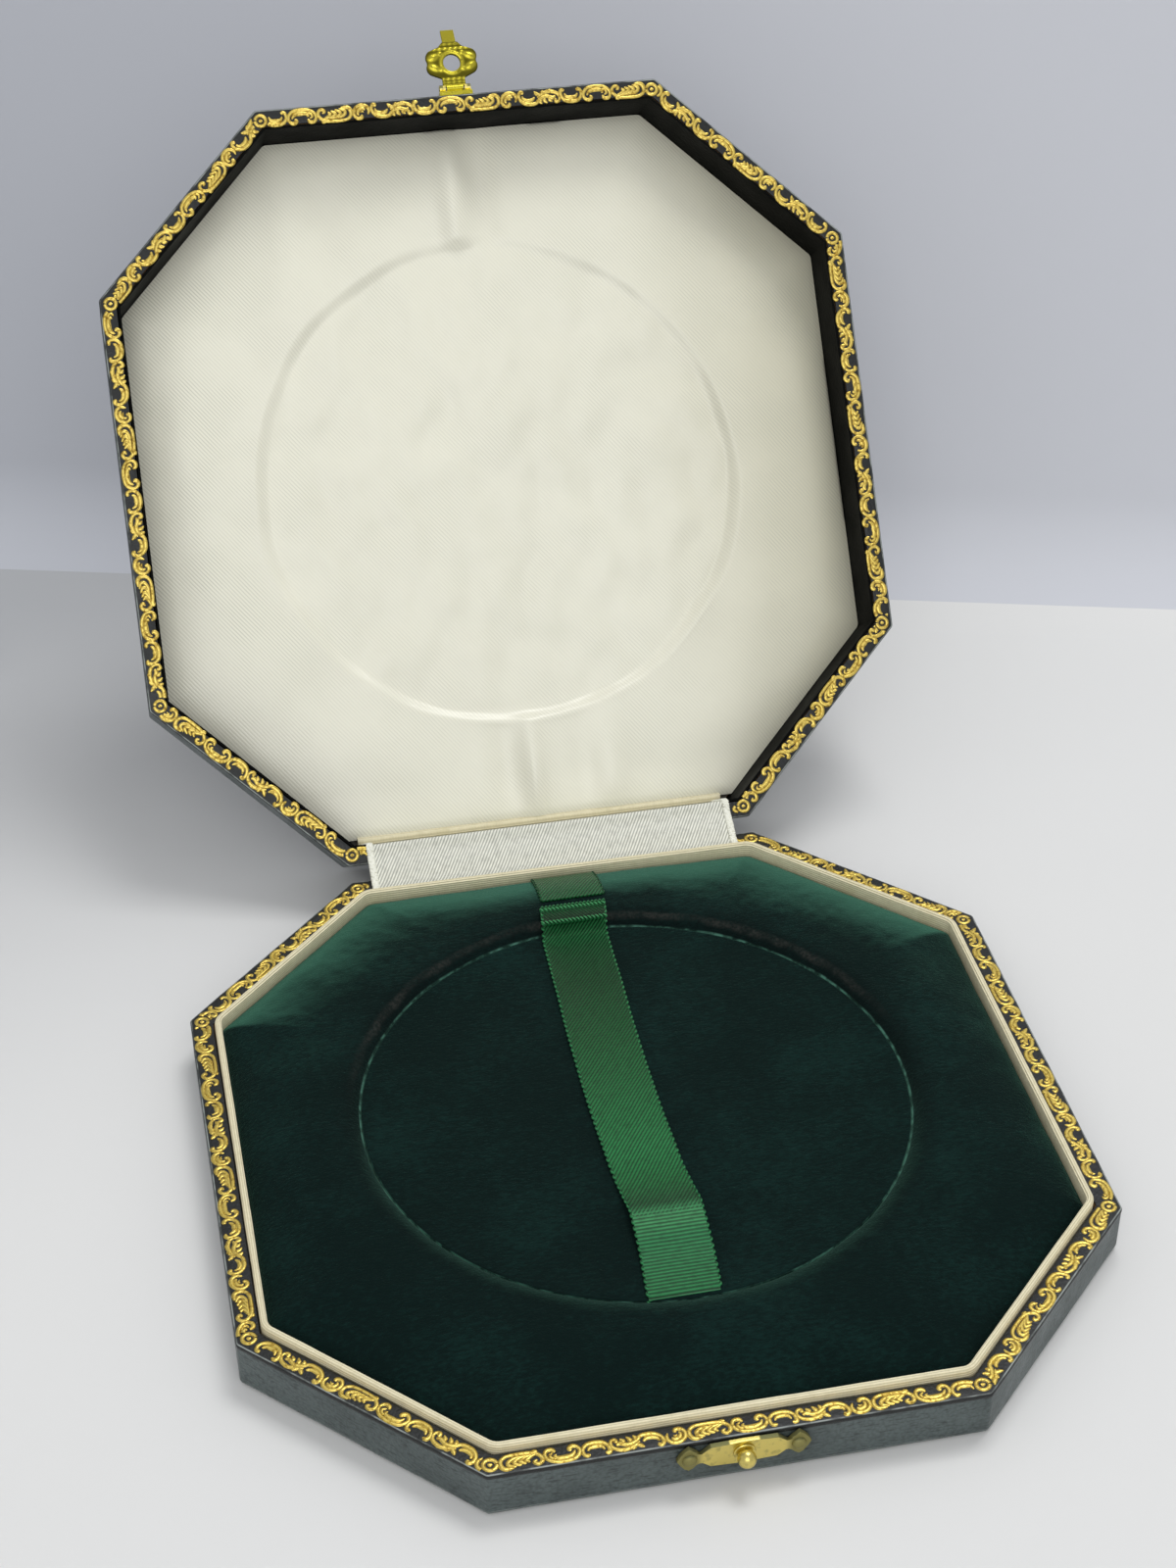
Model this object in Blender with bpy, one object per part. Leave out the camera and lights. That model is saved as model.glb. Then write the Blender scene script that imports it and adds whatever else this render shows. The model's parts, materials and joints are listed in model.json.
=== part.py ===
"""Eight-sided medal presentation case, standing open: base, lid, hinge, hasp and lift ribbon.

Lengths are in metres, +Z is up, the catch faces -Y and the hinge is at +Y. The origin is the centre of
the base's underside. The lid and the hasp are modelled closed and turned about their hinge empties.
"""
import math
from typing import NamedTuple

import bmesh
import bpy
from mathutils import Vector

# Case
ACROSS_FLATS = 0.125
MAIN_SIDE = 0.0673
BASE_HEIGHT = 0.0079
LID_HEIGHT = 0.0144
RIM_GAP = 0.0005
LEATHER = 0.0004
EDGE_ROUND = 0.001
RIM_ROUND = 0.0002
CORNER_ROUND = 0.0009
LEAST_ROUND = 0.0002
FIT_GAP = 0.0002
OPEN_ANGLE = math.radians(127.9)

# Rails and boards
BASE_RAIL_WIDTH = 0.0028
BASE_BOARD_THICK = 0.002
LID_BOARD_THICK = 0.002
MITRE_GAP = 0.0003

# Collar
COLLAR_THICK = 0.001
COLLAR_STAND = 0.0012
COLLAR_CORNER_ROUND = 0.003
COLLAR_CLEARANCE = 0.0003

# Velvet pad and recess
RECESS_BORDER = 0.0222
RECESS_SET_BACK = 0.0012
FORMER_THICK = 0.002
FLOOR_ABOVE_RIM = 0.00125
FLOOR_THICK = 0.00065
FLOOR_EDGE_ROUND = 0.0003
SHOULDER_ABOVE_RIM = 0.0028
SHOULDER_WIDTH = 0.0046
PAD_EDGE_BELOW_RIM = 0.0013
PAD_GAP = 0.0003
SHOULDER_SHARES = ((0.0, 0.0), (0.12, 0.42), (0.35, 0.78), (0.65, 0.96), (1.0, 1.0))
PAD_FALL_SHARES = ((0.22, 0.03), (0.45, 0.14), (0.68, 0.36), (0.87, 0.64), (1.0, 1.0))

# Lift ribbon and the fixed tab behind it
RIBBON_WIDTH = 0.010
RIBBON_THICK = 0.00025
RIBBON_LIFT = 0.0002
RIBBON_HEM = 0.003
RIBBON_TAIL = 0.0006
RIBBON_BEND = 0.0005
NOTCH_DEPTH = 0.0012
TAB_LENGTH = 0.0095
TAB_SLOT = 0.0009

# Lid lining and satin
LINING_THICK = 0.0004
SATIN_BOARD_THICK = 0.0008
SATIN_THICK = 0.0034
SATIN_EDGE_THICK = 0.0012
IMPRESSION_DEPTH = 0.0008
IMPRESSION_EDGE = 0.0014
SATIN_FALL_SHARES = ((0.12, 0.0), (0.42, 0.1), (0.7, 0.34), (0.88, 0.64), (0.97, 0.86), (1.0, 1.0))
STRIP_WIDTH = 0.0009
STRIP_END_GAP = 0.00065
STRIP_PROUD = 0.0003

# Hinge
HINGE_SET_BACK = 0.00145
HINGE_END_GAP = 0.00215
HINGE_KNUCKLES = 9
BARREL_RADIUS = 0.001
BARREL_BORE = 0.0006
HINGE_PIN_RADIUS = 0.00035
KNUCKLE_GAP = 0.0002
SWING_GAP = 0.00025
LEAF_THICK = 0.00035
LEAF_NAIL_FROM_END = 0.008
LEAF_NAIL_RADIUS = 0.0004
LEAF_NAIL_LENGTH = 0.0018
HINGE_RIBBON_CORNER_GAP = 0.0035
HINGE_RIBBON_THICK = 0.00025

# Catch plate, hasp leaf and their nails
PLATE_LENGTH = 0.018
PLATE_HEIGHT = 0.0041
PLATE_THICK = 0.00065
CATCH_BELOW_RIM = 0.0023
PLATE_TOP_SHARES = ((0.62, 0.9), (0.62, 0.3), (0.66, 0.3), (0.7, 0.62), (0.81, 1.0), (0.92, 0.5))
PLATE_LOW_SHARES = ((0.92, -0.5), (0.81, -1.0), (0.7, -0.62), (0.66, -0.3), (0.62, -0.3), (0.5, -0.9))
NAIL_PLACE_SHARE = 0.81
NAIL_HEAD_RADIUS = 0.0008
NAIL_HEAD_HEIGHT = 0.0005
NAIL_SHANK_RADIUS = 0.00035
NAIL_BITE = 0.0012
KNOB_SHANK_RADIUS = 0.0005
KNOB_COLLAR_RADIUS = 0.00115
KNOB_COLLAR_THICK = 0.00045
KNOB_NECK_RADIUS = 0.0007
KNOB_BALL_RADIUS = 0.0011
KNOB_BALL_REACH = 0.003
SHANK_CLEARANCE = 0.00025

# Hasp
HASP_AXIS_ABOVE_KNOB = 0.0043
HASP_THICK = 0.0006
HASP_HOLE_CLEARANCE = 0.0003
HASP_RING_WIDTH = 0.00065
HASP_RING_PROUD = 0.00015
HASP_NECK_HALF = 0.0019
HASP_NECK_LENGTH = 0.0017
HASP_LOBE_RADIUS = 0.0013
HASP_LOBE_OUT = 0.0030
HASP_LOBE_LOW = 0.0007
HASP_LOBE_HIGH = 0.0010
HASP_LENGTH = 0.0078
HASP_SHOULDER_HALF = 0.0013
HASP_TAB_HALF = 0.0011
HASP_TAB_LENGTH = 0.0031
HASP_TAB_THICK = 0.00045
HASP_TAB_ANGLE = math.radians(45)
HASP_BARREL_RADIUS = 0.00065
HASP_BARREL_BORE = 0.0004
HASP_PIN_RADIUS = 0.0002
HASP_KNUCKLE_HALF = 0.0014
HASP_BARREL_HALF = 0.0026
HASP_LEAF_ABOVE_AXIS = 0.0037
HASP_LEAF_EDGE = 0.0003
HASP_LEAF_CORNER_CUT = 0.0008
HASP_NAIL_OUT = 0.0014
HASP_OUT_ANGLE = math.radians(90)

# How finely round things are cut, and how far cutters run past what they cut
CORNER_STEPS = 3
EDGE_STEPS = 3
RAYS = 64
FINE_SIDES = 24
SIDES = 12
OVERRUN = 0.001

HALF = ACROSS_FLATS / 2
EIGHTH = math.pi / 4
RECESS_RADIUS = HALF - RECESS_BORDER

# Lengths along the hinge, from the back wall's corners inwards
HINGE_RIBBON_WIDTH = MAIN_SIDE - 2 * HINGE_RIBBON_CORNER_GAP
HINGE_LENGTH = HINGE_RIBBON_WIDTH - 2 * HINGE_END_GAP
LEAF_NAIL_OUT = HINGE_LENGTH / 2 - LEAF_NAIL_FROM_END
STRIP_LENGTH = HINGE_RIBBON_WIDTH - 2 * STRIP_END_GAP

# Heights in the base
BOARD_LOW = LEATHER + FIT_GAP
BOARD_TOP = BOARD_LOW + BASE_BOARD_THICK
INNER_LOW = BOARD_TOP + FIT_GAP
RAIL_TOP = BASE_HEIGHT - LEATHER - FIT_GAP
PAD_LOW = INNER_LOW + FORMER_THICK + FIT_GAP
FLOOR_TOP = BASE_HEIGHT + FLOOR_ABOVE_RIM
FLOOR_LOW = FLOOR_TOP - FLOOR_THICK
CREST = BASE_HEIGHT + SHOULDER_ABOVE_RIM
PAD_EDGE = BASE_HEIGHT - PAD_EDGE_BELOW_RIM

# How far each ring of pieces stands in from the outer faces
RAIL_OUT = LEATHER + FIT_GAP
RAIL_IN = RAIL_OUT + BASE_RAIL_WIDTH
COLLAR_OUT = RAIL_IN + FIT_GAP
COLLAR_IN = COLLAR_OUT + COLLAR_THICK
PAD_OUT = COLLAR_IN + FIT_GAP
LINING_IN = COLLAR_OUT - COLLAR_CLEARANCE
LINING_OUT = LINING_IN - LINING_THICK
LID_RAIL_IN = LINING_OUT - FIT_GAP
SATIN_OUT = LINING_IN + FIT_GAP

# Heights in the closed lid
LID_RIM = BASE_HEIGHT + RIM_GAP
LID_TOP = LID_RIM + LID_HEIGHT
LID_INSIDE_TOP = LID_TOP - LEATHER - FIT_GAP
LID_BOARD_LOW = LID_INSIDE_TOP - LID_BOARD_THICK
SATIN_BOARD_TOP = LID_BOARD_LOW - FIT_GAP
SATIN_BACK = SATIN_BOARD_TOP - SATIN_BOARD_THICK - FIT_GAP
SATIN_CREST = SATIN_BACK - SATIN_THICK
SATIN_EDGE = SATIN_BACK - SATIN_EDGE_THICK

# Hinge and hasp axes, with the lid closed
HINGE_AXIS = Vector((0, HALF + HINGE_SET_BACK, BASE_HEIGHT + RIM_GAP / 2))
LEAF_DROP = BARREL_RADIUS - LEAF_THICK
SEAT_DROP = BARREL_RADIUS + FIT_GAP
REBATE_HALF = HINGE_RIBBON_WIDTH / 2 + SWING_GAP
PLATE_FACE = FIT_GAP + PLATE_THICK
HASP_BACK = PLATE_FACE + SWING_GAP
KNOB_HEIGHT = BASE_HEIGHT - CATCH_BELOW_RIM
HASP_AXIS = Vector((0, -HALF - HASP_BACK - HASP_THICK / 2, KNOB_HEIGHT + HASP_AXIS_ABOVE_KNOB))
HASP_LEAF_HEIGHT = HASP_AXIS.z + HASP_LEAF_ABOVE_AXIS
RECESS_CENTRE = (0.0, RECESS_SET_BACK)
SIDE_NAMES = ("right", "back_right", "back", "back_left", "left", "front_left", "front", "front_right")


class Axis(NamedTuple):
    """An empty on a joint's axis, and where that axis lies with the case closed."""

    empty: bpy.types.Object
    place: Vector


def new_axis(name, place, carrier=None, turn=0.0):
    """Return a joint's axis, turned about X from the closed pose, on the axis that carries it."""
    empty = bpy.data.objects.new(name, None)
    bpy.context.scene.collection.objects.link(empty)
    empty.location = place
    if carrier:
        empty.parent = carrier.empty
        empty.location = place - carrier.place
    empty.rotation_euler = (turn, 0, 0)
    return Axis(empty, place)


def finish(name, colour, roughness, metallic=0.0):
    """Return a Principled material for one piece."""
    made = bpy.data.materials.new(name)
    made.use_nodes = True
    shader = made.node_tree.nodes["Principled BSDF"]
    shader.inputs["Base Color"].default_value = (*colour, 1)
    shader.inputs["Roughness"].default_value = roughness
    shader.inputs["Metallic"].default_value = metallic
    return made


LOOKS = {
    "leather": ((0.055, 0.075, 0.07), 0.55, 0.0),
    "lining": ((0.012, 0.015, 0.014), 0.6, 0.0),
    "wood": ((0.45, 0.32, 0.19), 0.7, 0.0),
    "card": ((0.35, 0.33, 0.29), 0.9, 0.0),
    "cream silk": ((0.62, 0.56, 0.38), 0.6, 0.0),
    "satin": ((0.78, 0.76, 0.66), 0.4, 0.0),
    "white ribbon": ((0.78, 0.78, 0.75), 0.5, 0.0),
    "velvet": ((0.01, 0.045, 0.035), 0.95, 0.0),
    "green ribbon": ((0.02, 0.2, 0.07), 0.45, 0.0),
    "brass": ((0.72, 0.55, 0.2), 0.3, 1.0),
    "steel": ((0.55, 0.55, 0.56), 0.35, 1.0),
}


def from_loops(name, loops, look, axis=None, ring=False):
    """Skin a list of equal loops of points as one closed piece, capped at both ends or joined as a ring."""
    mesh = bpy.data.meshes.new(name)
    model = bmesh.new()
    rows = [[model.verts.new(point) for point in loop] for loop in loops]
    pairs = list(zip(rows, rows[1:]))
    if ring:
        pairs.append((rows[-1], rows[0]))
    for low, high in pairs:
        for index in range(len(low)):
            after = (index + 1) % len(low)
            model.faces.new((low[index], low[after], high[after], high[index]))
    if not ring:
        model.faces.new(list(reversed(rows[0])))
        model.faces.new(rows[-1])
    bmesh.ops.recalc_face_normals(model, faces=model.faces)
    model.to_mesh(mesh)
    model.free()
    mesh.shade_smooth()
    mesh.set_sharp_from_angle(angle=math.radians(35))
    made = bpy.data.objects.new(name, mesh)
    made.data.materials.append(finish(name, *LOOKS[look]))
    bpy.context.scene.collection.objects.link(made)
    if axis:
        made.parent = axis.empty
        made.location = -axis.place
    return made


def cut(piece, cutter, operation="DIFFERENCE"):
    """Add an exact Boolean and hide its cutter."""
    cutter.hide_render = True
    cutter.display_type = "WIRE"
    step = piece.modifiers.new(cutter.name, "BOOLEAN")
    step.operation = operation
    step.solver = "EXACT"
    step.object = cutter


def block(name, low, high, look, axis=None):
    """Return a plain box between two corners."""
    (x0, y0, z0), (x1, y1, z1) = low, high
    loops = [[(x, y0, z0), (x, y1, z0), (x, y1, z1), (x, y0, z1)] for x in (x0, x1)]
    return from_loops(name, loops, look, axis)


def prism(name, outline, half_length, look, axis=None, middle=0.0):
    """Return an outline of (y, z) points carried along X on both sides of its middle."""
    loops = [[(x, y, z) for y, z in outline] for x in (middle - half_length, middle + half_length)]
    return from_loops(name, loops, look, axis)


def arc(centre, radius, start, end, steps):
    """Return points along an arc, angles in radians."""
    turns = [start + (end - start) * step / steps for step in range(steps + 1)]
    return [(centre[0] + radius * math.cos(turn), centre[1] + radius * math.sin(turn)) for turn in turns]


def turned(name, profile, place, look, axis=None, upright=False, sides=SIDES):
    """Turn (radius, distance) points about a line through place: along -Y, or along +Z if upright."""
    loops = []
    for radius, along in profile:
        loop = []
        for step in range(sides):
            turn = 2 * math.pi * (step + 0.5) / sides
            across, aside = radius * math.cos(turn), radius * math.sin(turn)
            offset = (across, aside, along) if upright else (across, -along, aside)
            loop.append(tuple(Vector(place) + Vector(offset)))
        loops.append(loop)
    return from_loops(name, loops, look, axis)


def rod(name, radius, half_length, place, look, axis=None, sides=SIDES):
    """Return a round bar along X."""
    section = arc((place[1], place[2]), radius, 0, 2 * math.pi, sides)[:-1]
    return prism(name, section, half_length, look, axis, place[0])


def corner(side, inset):
    """Return the octagon's sharp corner between a side and the next, sides counted from +X."""
    flat = HALF - inset
    end = MAIN_SIDE / 2 - inset * math.tan(EIGHTH / 2)
    quarter, odd = divmod(side % 8, 2)
    x, y = (end, flat) if odd else (flat, end)
    for _ in range(quarter):
        x, y = -y, x
    return Vector((x, y))


def octagon(inset, height, rounding=None):
    """Return the octagon's outline at an inset and height, with rounded corners."""
    radius = max(CORNER_ROUND - inset, LEAST_ROUND) if rounding is None else rounding
    loop = []
    for side in range(8):
        middle = EIGHTH * (side + 0.5)
        outward = Vector((math.cos(middle), math.sin(middle)))
        centre = corner(side, inset) - outward * radius / math.cos(EIGHTH / 2)
        for x, y in arc(centre, radius, EIGHTH * side, EIGHTH * (side + 1), CORNER_STEPS):
            loop.append((x, y, height))
    return loop


def reach(turn, insets):
    """Return how far a ray from the recess's centre runs to the octagon, with an inset for each side."""
    x, y = math.cos(turn), math.sin(turn)
    runs = []
    for side in range(8):
        facing = EIGHTH * side
        normal_x, normal_y = math.cos(facing), math.sin(facing)
        lean = normal_x * x + normal_y * y
        if lean > 0:
            end = corner(side, insets[side])
            gap = (end.x - RECESS_CENTRE[0]) * normal_x + (end.y - RECESS_CENTRE[1]) * normal_y
            runs.append(gap / lean)
    return min(runs)


def round_loop(radius, height):
    """Return a circle about the recess's centre, on the same rays as the pads' outlines."""
    turns = [2 * math.pi * step / RAYS for step in range(RAYS)]
    return [(RECESS_CENTRE[0] + radius * math.cos(t), RECESS_CENTRE[1] + radius * math.sin(t), height)
            for t in turns]


def spread_loop(radius, share, insets, height):
    """Return a loop that lies a share of the way from a circle out to the octagon."""
    loop = []
    for step in range(RAYS):
        turn = 2 * math.pi * step / RAYS
        run = radius + (reach(turn, insets) - radius) * share
        x = RECESS_CENTRE[0] + run * math.cos(turn)
        y = RECESS_CENTRE[1] + run * math.sin(turn)
        loop.append((x, y, height))
    return loop


def cover_profile(height, inner_edge):
    """Return a cover's (inset, height) points from the outer sheet's middle round to its inside."""
    edge = arc((EDGE_ROUND, EDGE_ROUND), EDGE_ROUND, -math.pi / 2, -math.pi, EDGE_STEPS)
    rim = [(0, height - RIM_ROUND), (RIM_ROUND, height)]
    inside = [(inner_edge, height), (inner_edge, height - LEATHER)]
    inside += [(LEATHER, height - LEATHER), (LEATHER, LEATHER)]
    return edge + rim + inside


def rails(prefix, inner, low, top, axis=None):
    """Return the eight mitred rails of a wall, keyed by side name."""
    made = {}
    for side, name in enumerate(SIDE_NAMES):
        facing = EIGHTH * side
        along = Vector((-math.sin(facing), math.cos(facing)))
        plan = []
        for inset in (RAIL_OUT, inner):
            plan.append((corner(side - 1, inset) + along * MITRE_GAP / 2))
            plan.append((corner(side, inset) - along * MITRE_GAP / 2))
        plan = [plan[0], plan[1], plan[3], plan[2]]
        loops = [[(point.x, point.y, height) for point in plan] for height in (low, top)]
        made[name] = from_loops(f"{prefix}_{name}", loops, "wood", axis)
    return made


def pad_profile():
    """Return the velvet pad's (radius or share, height) points from the recess's edge outwards."""
    inner = RECESS_RADIUS + PAD_GAP
    low = FLOOR_TOP - FLOOR_EDGE_ROUND
    shoulder = [(inner + SHOULDER_WIDTH * out, low + (CREST - low) * up) for out, up in SHOULDER_SHARES]
    fall = [(share, CREST + (PAD_EDGE - CREST) * down) for share, down in PAD_FALL_SHARES]
    return shoulder, fall


def pad_surface(radius):
    """Return the velvet's height straight behind the recess's centre, at a distance from it."""
    shoulder, fall = pad_profile()
    crest_radius = shoulder[-1][0]
    run = reach(math.pi / 2, (PAD_OUT,) * 8) - crest_radius
    points = shoulder + [(crest_radius + run * share, height) for share, height in fall]
    for (near, low), (far, high) in zip(points, points[1:]):
        if near <= radius <= far:
            return low + (high - low) * (radius - near) / (far - near)
    return points[0][1] if radius < points[0][0] else points[-1][1]


def ribbon(name, path, thickness, look, axis=None):
    """Return a flat ribbon that follows (y, z) points, centred on X."""
    loops = []
    for index, point in enumerate(path):
        before = Vector(path[max(index - 1, 0)])
        after = Vector(path[min(index + 1, len(path) - 1)])
        along = (after - before).normalized()
        offset = Vector((-along.y, along.x)) * thickness / 2
        high, low = Vector(point) + offset, Vector(point) - offset
        half = RIBBON_WIDTH / 2
        corners = [(-half, low), (half, low), (half, high), (-half, high)]
        loops.append([(x, point.x, point.y) for x, point in corners])
    return from_loops(name, loops, look, axis)


def base_shell():
    """Cover, board and rails of the base."""
    profile = cover_profile(BASE_HEIGHT, RAIL_IN)
    cover = from_loops("base_cover", [octagon(inset, height) for inset, height in profile], "leather")
    board = [octagon(COLLAR_OUT, height) for height in (BOARD_LOW, BOARD_TOP)]
    from_loops("base_board", board, "wood")
    return cover, rails("base_rail", RAIL_IN, BOARD_LOW, RAIL_TOP)


def collar():
    """Cream strip inside the base's wall, with a round top edge and round corners."""
    top = BASE_HEIGHT + COLLAR_STAND
    middle = (COLLAR_OUT + COLLAR_IN) / 2
    crown = arc((middle, top - COLLAR_THICK / 2), COLLAR_THICK / 2, math.pi, 0, 2 * EDGE_STEPS)
    profile = [(COLLAR_OUT, INNER_LOW)] + crown + [(COLLAR_IN, INNER_LOW)]
    loops = [octagon(inset, height, COLLAR_CORNER_ROUND - (inset - COLLAR_OUT)) for inset, height in profile]
    from_loops("collar", loops, "cream silk", ring=True)


def velvet_pad():
    """Former, padded velvet with its rolled shoulder, and the recess's block and floor."""
    insets = (PAD_OUT,) * 8
    inner = RECESS_RADIUS + PAD_GAP
    former_top = INNER_LOW + FORMER_THICK
    hole = [round_loop(inner, former_top), round_loop(inner, INNER_LOW)]
    outer = [spread_loop(inner, 1.0, insets, INNER_LOW), spread_loop(inner, 1.0, insets, former_top)]
    from_loops("pad_former", outer + hole, "card", ring=True)

    shoulder, fall = pad_profile()
    loops = [round_loop(radius, height) for radius, height in shoulder]
    loops += [spread_loop(shoulder[-1][0], share, insets, height) for share, height in fall]
    loops += [spread_loop(inner, 1.0, insets, PAD_LOW), round_loop(inner, PAD_LOW)]
    from_loops("velvet_pad", loops, "velvet", ring=True)

    block_radius = RECESS_RADIUS - FIT_GAP
    block_loops = [round_loop(block_radius, height) for height in (INNER_LOW, FLOOR_LOW - FIT_GAP)]
    from_loops("recess_block", block_loops, "wood")
    floor_loops = [round_loop(RECESS_RADIUS, height) for height in (FLOOR_LOW, FLOOR_TOP - FLOOR_EDGE_ROUND)]
    floor_loops.append(round_loop(RECESS_RADIUS - FLOOR_EDGE_ROUND, FLOOR_TOP))
    floor = from_loops("recess_floor", floor_loops, "velvet")
    notch_half = RIBBON_WIDTH / 2 + FIT_GAP
    front = RECESS_SET_BACK - RECESS_RADIUS
    notch = block("ribbon_notch", (-notch_half, front - OVERRUN, FLOOR_LOW - OVERRUN),
                  (notch_half, front + NOTCH_DEPTH, FLOOR_TOP + OVERRUN), "velvet")
    cut(floor, notch)


def lift_ribbon():
    """Ribbon from its tail at the recess's front, over the floor, to its doubled end on the shoulder."""
    axis_y = RECESS_SET_BACK - RECESS_RADIUS + NOTCH_DEPTH / 2
    rise = RIBBON_LIFT + RIBBON_THICK / 2
    level = FLOOR_TOP + rise
    inner = RECESS_RADIUS + PAD_GAP
    half = RIBBON_WIDTH / 2
    front_bend = arc((axis_y + RIBBON_BEND, level - RIBBON_BEND), RIBBON_BEND, math.pi, math.pi / 2, 4)
    path = [(axis_y, level - RIBBON_BEND - RIBBON_TAIL)] + front_bend + [(RECESS_SET_BACK, level)]
    foot = RECESS_SET_BACK + math.sqrt(inner * inner - half * half)
    path.append((foot - 2 * RIBBON_LIFT - 3 * RIBBON_THICK, level))
    for out, up in SHOULDER_SHARES[1:]:
        radius = inner + SHOULDER_WIDTH * out
        y = RECESS_SET_BACK + math.sqrt(radius * radius - half * half)
        path.append((y - rise * (1 - out), pad_surface(radius) + rise * (2 - up)))
    fold_y, fold_z = path[-1]
    hem_z = fold_z + 2 * RIBBON_THICK
    path += arc((fold_y, fold_z + RIBBON_THICK), RIBBON_THICK, -math.pi / 2, math.pi / 2, 4)[1:]
    path.append((fold_y - RIBBON_HEM, hem_z))
    axis = new_axis("ribbon_axis", Vector((0, axis_y, level)))
    ribbon("lift_ribbon", path, RIBBON_THICK, "green ribbon", axis)
    ribbon_tab(fold_y - RECESS_SET_BACK + 1.5 * RIBBON_THICK + TAB_SLOT)


def ribbon_tab(start):
    """Short fixed ribbon on the pad's slope, from just behind the lift ribbon's doubled end."""
    steps = 8
    rise = RIBBON_LIFT + RIBBON_THICK / 2
    lie = [start + TAB_LENGTH * step / steps for step in range(steps + 1)]
    tab = [(RECESS_SET_BACK + radius, pad_surface(radius) + rise) for radius in lie]
    ribbon("ribbon_tab", tab, RIBBON_THICK, "green ribbon")


def lid_shell(lid):
    """Cover, board, rails and inner lining of the lid."""
    profile = [(inset, LID_TOP - height) for inset, height in cover_profile(LID_HEIGHT, LID_RAIL_IN)]
    loops = [octagon(inset, height) for inset, height in profile]
    cover = from_loops("lid_cover", loops, "leather", lid)
    board_in = LID_RAIL_IN + FIT_GAP
    board = [octagon(board_in, height) for height in (LID_BOARD_LOW, LID_INSIDE_TOP)]
    from_loops("lid_board", board, "wood", lid)
    walls = rails("lid_rail", LID_RAIL_IN, LID_RIM + LEATHER + FIT_GAP, LID_INSIDE_TOP, lid)
    section = [(LINING_OUT, LID_RIM), (LINING_IN, LID_RIM)]
    section += [(inset, SATIN_BOARD_TOP) for inset in (LINING_IN, LINING_OUT)]
    lining = from_loops("lid_lining", [octagon(*point) for point in section], "lining", lid, ring=True)
    return cover, walls, lining


def satin_pad(lid):
    """Padded satin with the round impression of the medal, its board and the strip along the hinge."""
    back_inset = SATIN_OUT + STRIP_WIDTH + FIT_GAP
    insets = [SATIN_OUT] * 8
    insets[SIDE_NAMES.index("back")] = back_inset
    pressed = SATIN_CREST + IMPRESSION_DEPTH
    middle = (pressed + SATIN_CREST) / 2
    print_radius = RECESS_RADIUS - FIT_GAP
    loops = [round_loop(print_radius / 2, pressed), round_loop(print_radius - IMPRESSION_EDGE, pressed)]
    loops += [round_loop(print_radius, middle), round_loop(print_radius + IMPRESSION_EDGE, SATIN_CREST)]
    brow = print_radius + IMPRESSION_EDGE
    for share, down in SATIN_FALL_SHARES:
        loops.append(spread_loop(brow, share, insets, SATIN_CREST + (SATIN_EDGE - SATIN_CREST) * down))
    loops.append(spread_loop(brow, 1.0, insets, SATIN_BACK))
    from_loops("satin_pad", loops, "satin", lid)

    card = [octagon(SATIN_OUT, height) for height in (SATIN_BACK + FIT_GAP, SATIN_BOARD_TOP)]
    from_loops("satin_board", card, "card", lid)
    wall = HALF - SATIN_OUT
    low = (-STRIP_LENGTH / 2, wall - STRIP_WIDTH, SATIN_EDGE - STRIP_PROUD)
    block("satin_edge_strip", low, (STRIP_LENGTH / 2, wall, SATIN_BACK), "cream silk", lid)


def hinge_leaf(name, up, first, axis=None):
    """Return a leaf in the base's rim (up = -1) or the lid's (up = 1), with every other knuckle."""
    y_axis, z_axis = HINGE_AXIS.y, HINGE_AXIS.z
    rear = y_axis - BARREL_RADIUS - SWING_GAP
    front = HALF - LID_RAIL_IN
    near, far = sorted((z_axis + up * LEAF_DROP, z_axis + up * BARREL_RADIUS))
    leaf = block(name, (-HINGE_LENGTH / 2, front, near), (HINGE_LENGTH / 2, rear, far), "brass", axis)
    pitch = HINGE_LENGTH / HINGE_KNUCKLES
    meet = math.asin(LEAF_DROP / BARREL_RADIUS)
    section = arc((0, 0), BARREL_RADIUS, -math.pi / 2, math.pi + meet, SIDES)
    lug = rear - y_axis - BARREL_RADIUS
    section += [(lug, -LEAF_DROP), (lug, -BARREL_RADIUS)]
    section = [(y_axis + y, z_axis - up * z) for y, z in section]
    for index in range(first, HINGE_KNUCKLES, 2):
        middle = -HINGE_LENGTH / 2 + pitch * (index + 0.5)
        knuckle = prism(f"{name}_knuckle_{index}", section, (pitch - KNUCKLE_GAP) / 2, "brass", axis, middle)
        cut(leaf, knuckle, "UNION")
    bore = rod(f"{name}_bore", BARREL_BORE, HINGE_LENGTH / 2 + OVERRUN, HINGE_AXIS, "brass", axis, FINE_SIDES)
    cut(leaf, bore)
    return leaf


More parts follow.
